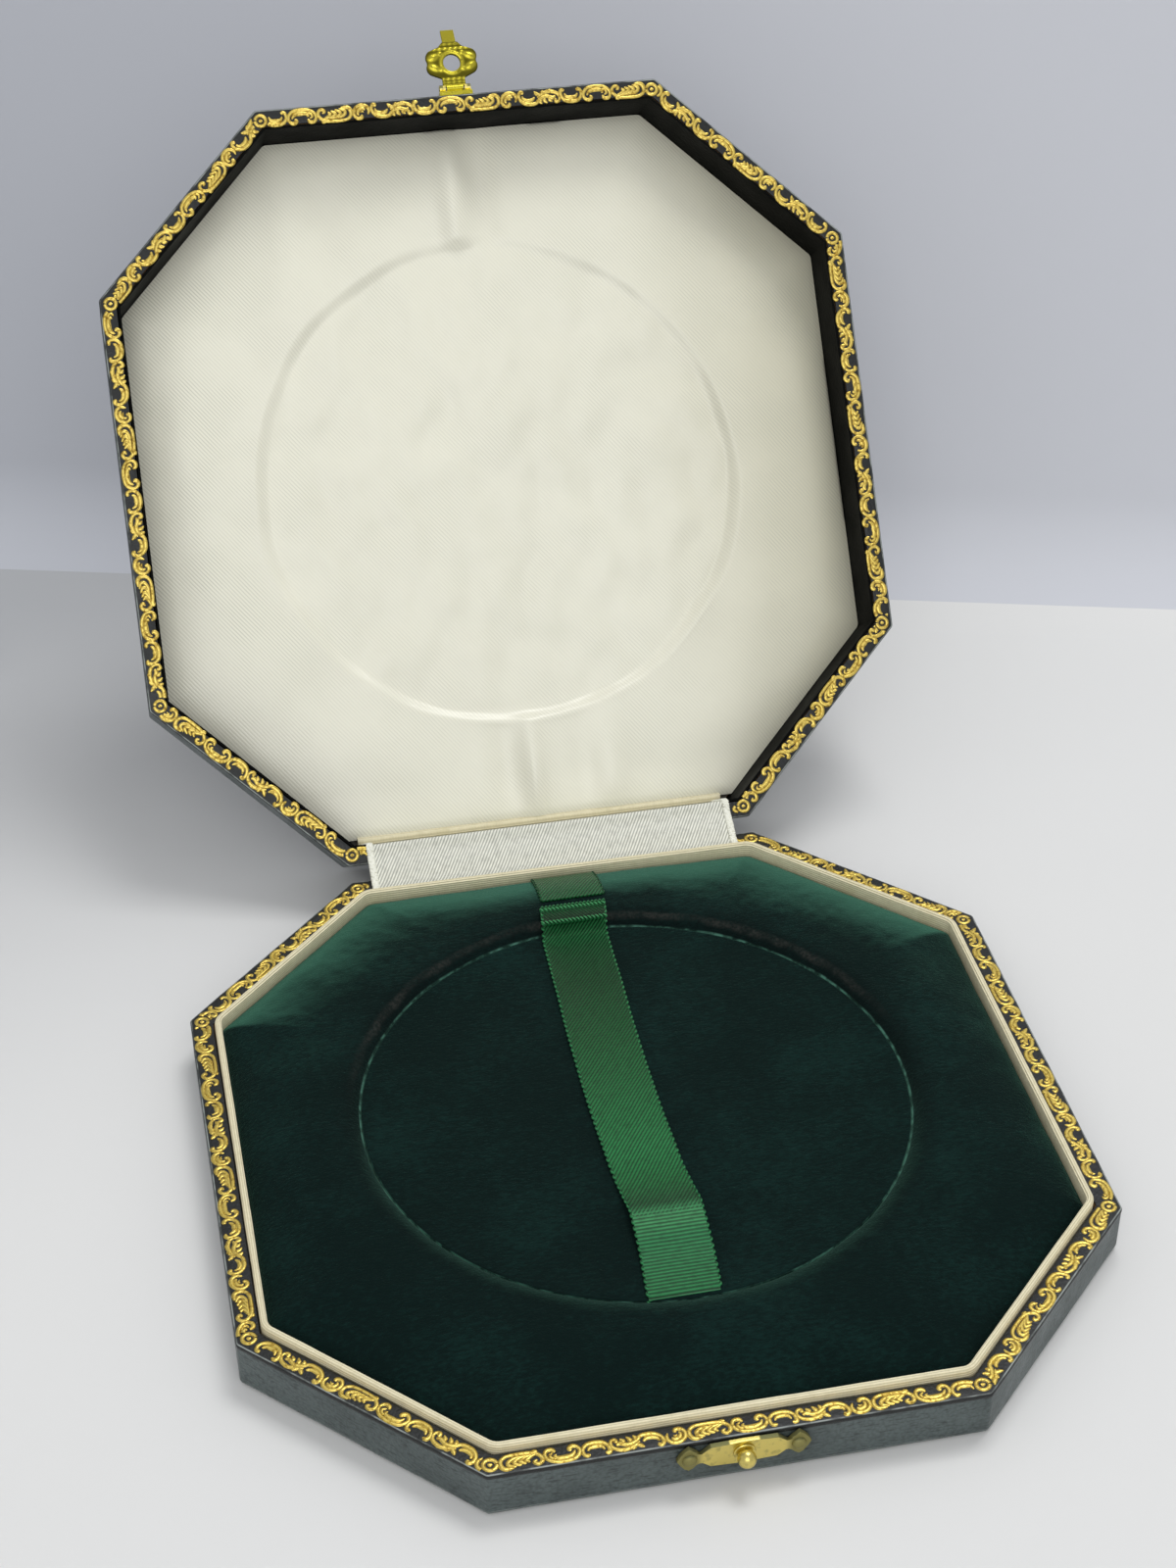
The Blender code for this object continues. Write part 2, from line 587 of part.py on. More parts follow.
def hinge(base_cover, base_back, lid_cover, lid_back, lining, lid):
    """Both leaves, the pin, their nails, the rebates that they lie in and the two halves of the ribbon."""
    leaves = {"base": hinge_leaf("hinge_leaf_base", -1, 0), "lid": hinge_leaf("hinge_leaf_lid", 1, 1, lid)}
    rod("hinge_pin", HINGE_PIN_RADIUS, HINGE_LENGTH / 2, HINGE_AXIS, "steel")
    inner = HALF - COLLAR_OUT
    outer = HALF + OVERRUN
    cuts = {
        "base": (HINGE_AXIS.z - SEAT_DROP, HINGE_AXIS.z + OVERRUN, (base_cover, base_back), None),
        "lid": (HINGE_AXIS.z - OVERRUN, HINGE_AXIS.z + SEAT_DROP, (lid_cover, lid_back), lid),
    }
    for half, (low, high, pieces, axis) in cuts.items():
        rebate = block(f"rebate_{half}", (-REBATE_HALF, inner, low), (REBATE_HALF, outer, high), "wood", axis)
        for piece in pieces:
            cut(piece, rebate)
    slot = block("lining_slot", (-REBATE_HALF, inner - OVERRUN, LID_RIM - OVERRUN),
                 (REBATE_HALF, HALF - LID_RAIL_IN, SATIN_BOARD_TOP + OVERRUN), "lining", lid)
    cut(lining, slot)

    place_y = (HALF - RAIL_OUT + HALF - LID_RAIL_IN) / 2
    for half, up, back, axis in (("base", -1, base_back, None), ("lid", 1, lid_back, lid)):
        for side, x in (("left", -LEAF_NAIL_OUT), ("right", LEAF_NAIL_OUT)):
            place = (x, place_y, HINGE_AXIS.z)
            ends = sorted((up * LEAF_DROP, up * (LEAF_DROP + LEAF_NAIL_LENGTH)))
            profile = [(LEAF_NAIL_RADIUS, end) for end in ends]
            turned(f"hinge_nail_{half}_{side}", profile, place, "brass", axis, upright=True)
            ends = sorted((0.0, up * (LEAF_DROP + LEAF_NAIL_LENGTH + FIT_GAP)))
            profile = [(LEAF_NAIL_RADIUS + SHANK_CLEARANCE, end) for end in ends]
            hole = turned(f"hinge_hole_{half}_{side}", profile, place, "brass", axis, upright=True)
            cut(leaves[half], hole)
            cut(back, hole)
    hinge_ribbon(lid)


def hinge_ribbon(lid):
    """The two halves of the ribbon over the hinge: flat on the base's rim, and down inside the lid's wall."""

    ribbon_half = HINGE_RIBBON_WIDTH / 2
    outer_y = HALF - FIT_GAP
    base_low = HINGE_AXIS.z - LEAF_DROP + FIT_GAP
    low = (-ribbon_half, HALF - COLLAR_OUT + FIT_GAP, base_low)
    block("hinge_ribbon_base", low, (ribbon_half, outer_y, base_low + HINGE_RIBBON_THICK), "white ribbon")
    lid_high = HINGE_AXIS.z + LEAF_DROP - FIT_GAP
    lid_low = lid_high - HINGE_RIBBON_THICK
    wall_y = HALF - LINING_OUT
    face_y = wall_y - HINGE_RIBBON_THICK
    section = [(face_y, lid_low), (outer_y, lid_low), (outer_y, lid_high)]
    section += [(wall_y, lid_high), (wall_y, SATIN_EDGE), (face_y, SATIN_EDGE)]
    prism("hinge_ribbon_lid", section, ribbon_half, "white ribbon", lid)


def plate(name, right, height, axis=None):
    """Return a flat plate on a front wall, from the right half of its outline about its middle."""
    outline = right + [(-x, z) for x, z in reversed(right)]
    loops = [[(x, -HALF - out, height + z) for x, z in outline] for out in (FIT_GAP, PLATE_FACE)]
    return from_loops(name, loops, "brass", axis)


def stud(name, radius, head, place, pieces, axis=None, sides=SIDES):
    """Return a shank through a plate into the rail, with a head, and drill the pieces that it passes."""
    tip = -RAIL_OUT - NAIL_BITE
    seat = PLATE_FACE + FIT_GAP
    made = turned(name, [(radius, tip), (radius, seat)] + head, place, "brass", axis, sides=sides)
    ends = (tip - FIT_GAP, PLATE_FACE + OVERRUN)
    hole = turned(f"{name}_hole", [(radius + SHANK_CLEARANCE, end) for end in ends], place, "brass", axis)
    for piece in pieces:
        cut(piece, hole)
    return made


def nails(prefix, out, height, pieces, axis=None):
    """Domed nails through a plate, one each side of its middle."""
    seat = PLATE_FACE + FIT_GAP
    dome = arc((0, 0), 1.0, 0, math.pi / 2, 4)[:-1]
    head = [(NAIL_HEAD_RADIUS * across, seat + NAIL_HEAD_HEIGHT * up) for across, up in dome]
    for side, turn in (("left", -1), ("right", 1)):
        place = (turn * out, -HALF, height)
        stud(f"{prefix}_nail_{side}", NAIL_SHANK_RADIUS, head, place, pieces, axis)


def catch(cover, front):
    """Catch plate with a pointed lozenge at each end, its nails and its ball stud, on the base's front wall."""
    shares = PLATE_TOP_SHARES + ((1.0, 0.0),) + PLATE_LOW_SHARES
    face = plate("catch_plate", [(x * PLATE_LENGTH / 2, z * PLATE_HEIGHT / 2) for x, z in shares], KNOB_HEIGHT)
    nails("catch", NAIL_PLACE_SHARE * PLATE_LENGTH / 2, KNOB_HEIGHT, (face, cover, front))
    seat = PLATE_FACE + FIT_GAP
    shelf = seat + KNOB_COLLAR_THICK
    head = [(KNOB_COLLAR_RADIUS, seat), (KNOB_COLLAR_RADIUS, shelf), (KNOB_NECK_RADIUS, shelf)]
    start = math.asin(KNOB_NECK_RADIUS / KNOB_BALL_RADIUS)
    ball = arc((KNOB_BALL_REACH, 0), KNOB_BALL_RADIUS, math.pi - start, 0, 9)[:-1]
    head += [(across, along) for along, across in ball]
    place = (0, -HALF, KNOB_HEIGHT)
    stud("catch_knob", KNOB_SHANK_RADIUS, head, place, (face, cover, front), sides=FINE_SIDES)


def hasp_leaf(cover, front, lid):
    """Small nailed plate on the lid's front wall, with the two outer knuckles of the hasp's hinge."""
    wide, tall = HASP_BARREL_HALF + HASP_LEAF_EDGE, PLATE_HEIGHT / 2
    narrow, low = wide - HASP_LEAF_CORNER_CUT, tall - HASP_LEAF_CORNER_CUT
    face = plate("hasp_leaf", [(narrow, tall), (wide, low), (wide, -tall)], HASP_LEAF_HEIGHT, lid)
    nails("hasp", HASP_NAIL_OUT, HASP_LEAF_HEIGHT, (face, cover, front), lid)
    y_axis, z_axis = HASP_AXIS.y, HASP_AXIS.z
    back = -HALF - FIT_GAP - PLATE_THICK / 2
    body_low = HASP_LEAF_HEIGHT - PLATE_HEIGHT / 4
    section = arc((y_axis, z_axis), HASP_BARREL_RADIUS, math.pi / 2, 2 * math.pi, SIDES)
    section += [(back, z_axis), (back, body_low), (-HALF - PLATE_FACE, body_low)]
    section.append((-HALF - PLATE_FACE, z_axis + HASP_BARREL_RADIUS))
    length = HASP_BARREL_HALF - HASP_KNUCKLE_HALF - KNUCKLE_GAP
    for side, turn in (("left", -1), ("right", 1)):
        middle = turn * (HASP_BARREL_HALF - length / 2)
        cut(face, prism(f"hasp_leaf_knuckle_{side}", section, length / 2, "brass", lid, middle), "UNION")
    bore_half = HASP_BARREL_HALF + OVERRUN
    cut(face, rod("hasp_leaf_bore", HASP_BARREL_BORE, bore_half, HASP_AXIS, "brass", lid, FINE_SIDES))
    rod("hasp_pin", HASP_PIN_RADIUS, HASP_BARREL_HALF, HASP_AXIS, "steel", lid)


def hasp(swing):
    """Stamped four-lobed hasp with its round hole, ring and thumb tab, hanging from its hinge."""
    x_axis, y_axis, z_axis = HASP_AXIS
    hole_down = HASP_AXIS_ABOVE_KNOB
    hole_radius = KNOB_COLLAR_RADIUS + HASP_HOLE_CLEARANCE
    low_lobe = (HASP_LOBE_OUT, hole_down - HASP_LOBE_LOW)
    high_lobe = (HASP_LOBE_OUT, hole_down + HASP_LOBE_HIGH)
    right = [(HASP_NECK_HALF, HASP_BARREL_RADIUS / 2), (HASP_NECK_HALF, HASP_NECK_LENGTH)]
    right += arc(low_lobe, HASP_LOBE_RADIUS, math.radians(-65), math.radians(30), 5)
    right += arc(high_lobe, HASP_LOBE_RADIUS, math.radians(-30), math.radians(70), 5)
    right.append((HASP_SHOULDER_HALF, HASP_LENGTH))
    outline = right + [(-x, down) for x, down in reversed(right)]
    faces = (y_axis - HASP_THICK / 2, y_axis + HASP_THICK / 2)
    loops = [[(x_axis + x, y, z_axis - down) for x, down in outline] for y in faces]
    body = from_loops("hasp", loops, "brass", swing)

    middle = (x_axis, y_axis, z_axis - hole_down)
    ring_reach = HASP_THICK / 2 + HASP_RING_PROUD
    ring_radius = hole_radius + HASP_RING_WIDTH
    profile = [(ring_radius, -ring_reach), (ring_radius, ring_reach)]
    ring = turned("hasp_ring", profile, middle, "brass", swing, sides=FINE_SIDES)
    barrel = rod("hasp_barrel", HASP_BARREL_RADIUS, HASP_KNUCKLE_HALF, HASP_AXIS, "brass", swing)
    for joined in (ring, barrel, hasp_tab(swing)):
        cut(body, joined, "UNION")
    profile = [(hole_radius, -OVERRUN), (hole_radius, OVERRUN)]
    cut(body, turned("hasp_hole", profile, middle, "brass", swing, sides=FINE_SIDES))
    bore_half = HASP_BARREL_HALF + OVERRUN
    cut(body, rod("hasp_bore", HASP_BARREL_BORE, bore_half, HASP_AXIS, "brass", swing, FINE_SIDES))
    for side, turn in (("left", -1), ("right", 1)):
        edges = sorted((turn * (HASP_KNUCKLE_HALF + KNUCKLE_GAP / 2), turn * (HASP_BARREL_HALF + OVERRUN)))
        wide = HASP_BARREL_RADIUS + SWING_GAP
        clear = block(f"hasp_clear_{side}", (edges[0], y_axis - wide, z_axis - wide),
                      (edges[1], y_axis + wide, z_axis + wide), "brass", swing)
        cut(body, clear)


def hasp_tab(swing):
    """Return the thumb tab at the hasp's lower end, bent away from the case."""
    root = Vector((HASP_AXIS.y, HASP_AXIS.z - HASP_LENGTH + HASP_TAB_THICK))
    along = -Vector((math.sin(HASP_TAB_ANGLE), math.cos(HASP_TAB_ANGLE)))
    across = Vector((-along.y, along.x)) * HASP_TAB_THICK / 2
    tip = root + along * HASP_TAB_LENGTH
    section = [root - across, root + across, tip + across, tip - across]
    return prism("hasp_tab", section, HASP_TAB_HALF, "brass", swing)


def main():
    """Model the whole case."""
    for old in list(bpy.data.objects):
        bpy.data.objects.remove(old, do_unlink=True)
    lid = new_axis("lid_axis", HINGE_AXIS, turn=-OPEN_ANGLE)
    swing = new_axis("hasp_axis", HASP_AXIS, lid, -HASP_OUT_ANGLE)
    base_cover, base_rails = base_shell()
    collar()
    velvet_pad()
    lift_ribbon()
    lid_cover, lid_rails, lining = lid_shell(lid)
    satin_pad(lid)
    hinge(base_cover, base_rails["back"], lid_cover, lid_rails["back"], lining, lid)
    catch(base_cover, base_rails["front"])
    hasp_leaf(lid_cover, lid_rails["front"], lid)
    hasp(swing)


main()
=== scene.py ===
"""Looks of an eight-sided medal presentation case standing open: leather, gold, silk, velvet and brass.

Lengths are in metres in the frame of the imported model: +Z is up, the catch faces -Y and the hinge is at +Y.
Pieces of the lid and of the hasp are shaped with the case closed and then turned open about their hinges.
"""

import json
import logging
import math
from dataclasses import dataclass, field
from enum import Enum
from typing import NamedTuple

import bmesh
import bpy
import numpy as np
from mathutils import Matrix, Vector, noise


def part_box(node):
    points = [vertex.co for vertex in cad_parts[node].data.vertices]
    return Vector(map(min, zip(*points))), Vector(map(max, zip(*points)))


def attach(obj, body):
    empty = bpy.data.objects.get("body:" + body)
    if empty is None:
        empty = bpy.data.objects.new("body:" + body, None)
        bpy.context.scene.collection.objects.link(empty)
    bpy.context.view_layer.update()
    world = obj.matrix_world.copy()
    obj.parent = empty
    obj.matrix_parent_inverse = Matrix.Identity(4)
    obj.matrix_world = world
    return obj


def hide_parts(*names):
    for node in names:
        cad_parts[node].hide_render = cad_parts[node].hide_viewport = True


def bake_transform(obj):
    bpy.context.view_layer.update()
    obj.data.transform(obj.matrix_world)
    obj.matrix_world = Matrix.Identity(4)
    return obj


Piece = bpy.types.Object
Socket = bpy.types.NodeSocket
Points = np.ndarray

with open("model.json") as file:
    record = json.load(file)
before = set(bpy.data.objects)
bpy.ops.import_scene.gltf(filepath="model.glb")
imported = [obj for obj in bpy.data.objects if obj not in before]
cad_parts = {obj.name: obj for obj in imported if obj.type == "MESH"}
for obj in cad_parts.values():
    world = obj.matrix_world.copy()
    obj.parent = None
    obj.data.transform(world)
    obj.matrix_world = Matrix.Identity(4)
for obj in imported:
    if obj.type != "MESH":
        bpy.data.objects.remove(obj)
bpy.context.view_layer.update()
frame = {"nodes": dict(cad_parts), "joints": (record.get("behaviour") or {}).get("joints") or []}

log = logging.getLogger("medal_case")

MM = 0.001
EIGHTH = math.pi / 4


class Side(Enum):
    """The case's eight sides, counted from +X towards +Y."""

    RIGHT = 0
    BACK_RIGHT = 1
    BACK = 2
    BACK_LEFT = 3
    LEFT = 4
    FRONT_LEFT = 5
    FRONT = 6
    FRONT_RIGHT = 7


class Turning(NamedTuple):
    """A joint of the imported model: where its axis lies and how far it turns, in degrees."""

    place: Vector
    low: float
    high: float


def turning(name: str) -> Turning:
    """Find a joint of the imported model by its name: its place and its limits."""
    joint = next(entry for entry in frame["joints"] if entry["name"] == name)
    return Turning(Vector(joint["pos_m"]), *joint["range_deg"])


def turn_about(place: Vector, degrees: float) -> Matrix:
    """Make a turn in degrees, right-handed about the line along +X through a point."""
    swing = Matrix.Rotation(math.radians(degrees), 4, "X")
    return Matrix.Translation(place) @ swing @ Matrix.Translation(-place)


LID_HINGE = turning("lid_hinge")
LID_OPEN = turn_about(LID_HINGE.place, -LID_HINGE.high)
HASP_HINGE = turning("hasp_hinge")
HASP_AXIS = LID_OPEN.inverted() @ HASP_HINGE.place
HASP_OPEN = LID_OPEN @ turn_about(HASP_AXIS, -HASP_HINGE.high)
RIBBON_LIFT = turning("ribbon_lift")
AT_REST = Matrix.Identity(4)

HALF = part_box("base_cover")[1].x
BASE_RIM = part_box("base_cover")[1].z
RIM_GAP = 2 * (LID_HINGE.place.z - BASE_RIM)
LID_RIM = BASE_RIM + RIM_GAP
LID_HEIGHT = 14.4 * MM
LID_TOP = LID_RIM + LID_HEIGHT
MAIN_SIDE = 67.3 * MM
RECESS_BORDER = 22.2 * MM
RECESS_RADIUS = HALF - RECESS_BORDER
RECESS_CENTRE = np.array((0.0, 1.2 * MM))
REBATE_HALF = 30.4 * MM
REBATE_EDGE = 0.02 * MM
REBATE_FLOOR = LID_HINGE.place.z - 1.2 * MM


def linear(code: str) -> tuple[float, float, float, float]:
    """Turn an sRGB hex colour into linear light.

    Args:
        code: Six hex digits after a hash sign.

    Returns:
        Red, green, blue and an alpha of one.
    """
    shares = [int(code[start:start + 2], 16) / 255 for start in (1, 3, 5)]
    light = [share / 12.92 if share <= 0.04045 else ((share + 0.055) / 1.055) ** 2.4 for share in shares]
    return light[0], light[1], light[2], 1.0


# What most nodes of a kind are set to: colours are mixed, and ranges start and end softly.
USUAL = {"Mix": {"data_type": "RGBA"}, "MapRange": {"interpolation_type": "SMOOTHSTEP"}}
# Outputs that are wanted most often where they aren't the first.
WANTED = {"Mix": 2, "VectorMath": "Value"}
TIMES = {"operation": "MULTIPLY"}
TIMES_PLUS = {"operation": "MULTIPLY_ADD"}
LESS = {"operation": "SUBTRACT"}
SIZE_OF = {"operation": "ABSOLUTE"}


class Board:
    """A material's nodes while a finish is drawn on them."""

    def __init__(self, material: bpy.types.Material) -> None:
        """Take the material's own nodes."""
        self.tree = material.node_tree
        self.shader = self.tree.nodes["Principled BSDF"]

    def add(self, kind: str, inputs: dict | tuple = (), output: int | str | None = None,
            **settings: object) -> Socket:
        """Add one shader node with its settings, values and links.

        Args:
            kind: The node's type name, without the words that they all start with.
            inputs: Value or output socket for each input, in order, or keyed by name or number.
            output: Name or number of the output that is wanted.
            settings: Attributes of the node itself, beyond the usual ones.

        Returns:
            The new node's wanted output.
        """
        node = self.tree.nodes.new("ShaderNode" + kind)
        for name, value in {**USUAL.get(kind, {}), **settings}.items():
            setattr(node, name, value)
        self.feed(node, inputs if isinstance(inputs, dict) else dict(enumerate(inputs)))
        return node.outputs[WANTED.get(kind, 0) if output is None else output]

    def feed(self, node: bpy.types.Node, inputs: dict) -> None:
        """Give a node its inputs.

        Args:
            node: The node.
            inputs: Value or output socket for each input, keyed by name or number.
        """
        for key, value in inputs.items():
            if isinstance(value, Socket):
                self.tree.links.new(value, node.inputs[key])
            else:
                node.inputs[key].default_value = value

    def dress(self, inputs: dict) -> None:
        """Give the shader that the eye sees its inputs."""
        self.feed(self.shader, inputs)

    def lines(self, pitch: float, degrees: float, waver: float) -> Socket:
        """Draw parallel lines over a piece's own real-size map.

        Args:
            pitch: Distance between lines in metres.
            degrees: Slant of the direction across the lines, from the map's first axis.
            waver: How far the lines stray, in metres.

        Returns:
            A value that swings from zero to one across each line.
        """
        place = self.add("TexCoord", output="UV")
        across = (math.cos(math.radians(degrees)), math.sin(math.radians(degrees)), 0.0)
        distance = self.add("VectorMath", (place, across), operation="DOT_PRODUCT")
        if waver:
            cloud = self.add("TexNoise", {"Vector": place, "Scale": 1 / (6 * MM)})
            distance = self.add("Math", (cloud, waver, distance), **TIMES_PLUS)
        phase = self.add("Math", (distance, 2 * math.pi / pitch), **TIMES)
        wave = self.add("Math", (phase,), operation="SINE")
        return self.add("Math", (wave, 0.5, 0.5), **TIMES_PLUS)

    def stripe(self, value: Socket, place: float, width: float, core: float, strength: Socket) -> Socket:
        """Draw a soft line where a value reaches a place.

        Args:
            value: What changes over the surface.
            place: Where the line lies.
            width: How far from it the line has faded out.
            core: Share of the width that has its full strength.
            strength: How strong the line is there.

        Returns:
            The line's share at each point.
        """
        off = self.add("Math", (value, place), **LESS) if place else value
        away = self.add("Math", (off,), **SIZE_OF)
        return self.add("MapRange", {0: away, 1: width, 2: core * width, 4: strength})


@dataclass(frozen=True)
class Finish:
    """What every finish shares: the real material's name, its colour and how rough it is."""

    name: str
    colour: str
    roughness: float

    def build(self) -> bpy.types.Material:
        """Make the material.

        Returns:
            A material whose nodes draw this finish.
        """
        material = bpy.data.materials.new(self.name)
        material.use_nodes = True
        material.diffuse_color = linear(self.colour)
        board = Board(material)
        board.dress({"Base Color": linear(self.colour), "Roughness": self.roughness})
        self.paint(board)
        return material

    def paint(self, board: Board) -> None:
        """Add this finish's own nodes; a plain finish has none."""


@dataclass(frozen=True)
class Leather(Finish):
    """Grained bookbinder's goatskin, dyed and pared thin: fine pebbles, dull, with paler rubbed edges."""

    dark: str = "#0b0f0e"
    # The rim strip's colour: a real strip of darker leather, its near-black partly painted shade on the rim.
    strip: str = "#0c100f"
    rubbed: str = "#a3aaa5"
    pebble: float = 0.42 * MM
    pore: float = 0.16 * MM
    relief: float = 0.07 * MM
    shine: float = 0.45
    has_strip: bool = False
    worn_width: float = 0.16 * MM
    strip_and_shade_depth: float = 0.9 * MM
    foot_line: float = 0.85 * MM

    def paint(self, board: Board) -> None:
        """Draw the grain and the uneven dye.

        Args:
            board: The material's nodes.
        """
        place = board.add("TexCoord", output="Object")
        warp = board.add("TexNoise", {"Vector": place, "Scale": 1 / (1.3 * MM)}, "Color")
        shifted = board.add("Mix", {0: 0.0006, 4: place, 5: warp}, 1, data_type="VECTOR")
        cells = board.add("TexVoronoi", {"Vector": shifted, "Scale": 1 / self.pebble}, feature="SMOOTH_F1")
        pores = board.add("TexNoise", {"Vector": place, "Scale": 1 / self.pore, "Detail": 3.0})
        height = board.add("Math", (pores, 0.35, cells), **TIMES_PLUS)
        cloud = board.add("TexNoise", {"Vector": place, "Scale": 1 / (9 * MM), "Detail": 4.0})
        uneven = board.add("MapRange", {0: cloud, 1: 0.35, 2: 0.8, 4: 0.35})
        pits = board.add("MapRange", {0: cells, 1: 0.25, 2: 0.8, 4: 0.35})
        dark = linear(self.dark)
        dye = board.add("Mix", {0: uneven, 6: linear(self.colour), 7: dark})
        dye = board.add("Mix", {0: pits, 6: dye, 7: dark})
        if self.has_strip:
            dye = self.worn_rim(board, dye, place)
        gloss = board.add("MapRange", (cloud, 0.3, 0.7, self.roughness - 0.06, self.roughness + 0.08))
        bump = board.add("Bump", {"Height": height, "Distance": self.relief, "Strength": 0.8})
        board.dress({"Base Color": dye, "Roughness": gloss, "Normal": bump, "Specular IOR Level": self.shine})

    def worn_rim(self, board: Board, dye: Socket, place: Socket) -> Socket:
        """Draw the walls' creases, the dark strip on the rim, a real strip darkened further as painted shade,
        and the pale lines that handling has rubbed.

        Args:
            board: The material's nodes.
            dye: The leather's colour so far.
            place: Where a point lies in the model.

        Returns:
            The finished colour.
        """
        map_place = board.add("TexCoord", output="UV")
        along = board.add("SeparateXYZ", (map_place,), "Y")
        drawn = board.add("Mapping", {"Vector": map_place, "Scale": (0.16, 1.0, 1.0)})
        grain = board.add("TexNoise", {"Vector": drawn, "Scale": 1 / (0.32 * MM), "Detail": 3.0})
        crease = board.add("MapRange", {0: grain, 1: 0.52, 2: 0.68, 4: 0.55})
        dye = board.add("Mix", {0: crease, 6: dye, 7: linear(self.dark)})
        # Painted shade, partly: the real rim strip, darkened further, over the rim and the top of the wall.
        lap = board.add("MapRange", (along, -self.strip_and_shade_depth, -0.8 * self.strip_and_shade_depth))
        dye = board.add("Mix", {0: lap, 6: dye, 7: linear(self.strip)})
        breaks = board.add("TexNoise", {"Vector": place, "Scale": 1 / (3 * MM), "Detail": 5.0})
        shown = board.add("MapRange", (breaks, 0.35, 0.6, 0.1, 0.8))
        faint = board.add("Math", (shown, 0.5), **TIMES)
        level = board.add("SeparateXYZ", (place,), "Z")
        for value, line_place, share in ((along, 0.0, shown), (level, self.foot_line, faint)):
            rub = board.stripe(value, line_place, self.worn_width, 0.2, share)
            dye = board.add("Mix", {0: rub, 6: dye, 7: linear(self.rubbed)})
        return dye


@dataclass(frozen=True)
class GoldLeaf(Finish):
    """Gold leaf tooled into leather with a hot roll: thin in places, with dark veins in its strokes."""

    deep: str = "#8d6a20"
    vein: str = "#171408"
    vein_place: float = 0.2 * MM
    vein_width: float = 0.045 * MM

    def paint(self, board: Board) -> None:
        """Draw the leaf's uneven brightness, its hammered skin and the veins beside each stroke's middle.

        Args:
            board: The material's nodes.
        """
        place = board.add("TexCoord", output="Object")
        grain = board.add("TexNoise", {"Vector": place, "Scale": 1 / (0.5 * MM), "Detail": 4.0})
        thin = board.add("MapRange", {0: grain, 1: 0.46, 2: 0.72, 4: 0.8})
        leaf = board.add("Mix", {0: thin, 6: linear(self.colour), 7: linear(self.deep)})
        map_place = board.add("TexCoord", output="UV")
        across = board.add("SeparateXYZ", (map_place,), "X")
        breaks = board.add("TexNoise", {"Vector": place, "Scale": 1 / (1.4 * MM), "Detail": 2.0})
        shown = board.add("MapRange", {0: breaks, 1: 0.46, 2: 0.56, 4: 0.7})
        veined = board.stripe(across, self.vein_place, self.vein_width, 0.3, shown)
        leaf = board.add("Mix", {0: veined, 6: leaf, 7: linear(self.vein)})
        rough = board.add("MapRange", (grain, 0.4, 0.7, self.roughness, self.roughness + 0.2))
        bump = board.add("Bump", {"Height": grain, "Distance": 0.03 * MM, "Strength": 0.7})
        board.dress({"Base Color": leaf, "Metallic": 1.0, "Roughness": rough, "Normal": bump})


@dataclass(frozen=True)
class Silk(Finish):
    """Woven ribbed silk: parallel ribs, crossing threads between them and a soft lustre."""

    shade: str = "#8f876b"
    rib_pitch: float = 0.3 * MM
    rib_slant: float = 90.0
    thread_pitch: float = 0.24 * MM
    thread_slant: float = 0.0
    relief: float = 0.05 * MM
    thread_share: float = 0.3
    waver: float = 0.25
    lustre: float = 0.3
    shine: float = 0.5
    stain: str = ""
    straight_run: float = 0.0
    straight_pitch: float = 0.62 * MM
    light_and_shade_bands: tuple[tuple[float, str], ...] = ()

    def paint(self, board: Board) -> None:
        """Draw the ribs, the threads, painted shade in their hollows, the age stains and the lustre.

        Args:
            board: The material's nodes.
        """
        place = board.add("TexCoord", output="UV")
        run = board.add("SeparateXYZ", (place,), "Y")
        ribs = board.lines(self.rib_pitch, self.rib_slant, self.waver * self.rib_pitch)
        if self.straight_run:
            straight = board.lines(self.straight_pitch, 90.0, 0.3 * self.straight_pitch)
            back = board.add("MapRange", (run, self.straight_run, self.straight_run + 3 * MM))
            ribs = board.add("Mix", {0: back, 2: straight, 3: ribs}, 0, data_type="FLOAT")
        threads = board.lines(self.thread_pitch, self.thread_slant, 0.3 * self.thread_pitch)
        height = board.add("Math", (threads, self.thread_share, ribs), **TIMES_PLUS)
        slub = board.add("TexNoise", {"Vector": place, "Scale": 1 / (1.1 * MM), "Detail": 3.0})
        # Painted shade: the ribs' hollows take the shade colour; the slub patches take it as uneven tone.
        darkening = board.add("MapRange", {0: height, 1: 0.75, 2: 0.1, 4: 0.75})
        patch = board.add("MapRange", {0: slub, 1: 0.4, 2: 0.75, 4: 0.3})
        cloth = self.painted_bands(board, run) if self.light_and_shade_bands else linear(self.colour)
        for share in (darkening, patch):
            cloth = board.add("Mix", {0: share, 6: cloth, 7: linear(self.shade)})
        if self.stain:
            cloud = board.add("TexNoise", {"Vector": place, "Scale": 1 / (7 * MM), "Detail": 4.0})
            tone_shift = board.add("MapRange", {0: cloud, 1: 0.5, 2: 0.8, 4: 0.5})
            cloth = board.add("Mix", {0: tone_shift, 6: cloth, 7: linear(self.stain)})
        bump = board.add("Bump", {"Height": height, "Distance": self.relief, "Strength": 0.9})
        board.dress({"Base Color": cloth, "Normal": bump, "Sheen Weight": self.lustre, "Sheen Roughness": 0.4,
                     "Sheen Tint": linear(self.colour), "Specular IOR Level": self.shine})

    def painted_bands(self, board: Board, run: Socket) -> Socket:
        """Paint highlights and shade onto the cloth in bands along its run.

        Args:
            board: The material's nodes.
            run: How far along the cloth a point lies.

        Returns:
            The bands' colour.
        """
        longest = self.light_and_shade_bands[-1][0]
        share = board.add("Math", (run, longest), operation="DIVIDE")
        colour = board.add("ValToRGB", (share,))
        stops = colour.node.color_ramp.elements
        for number, (place, code) in enumerate(self.light_and_shade_bands):
            stop = stops[number] if number < 2 else stops.new(place / longest)
            stop.position = place / longest
            stop.color = linear(code)
        return colour


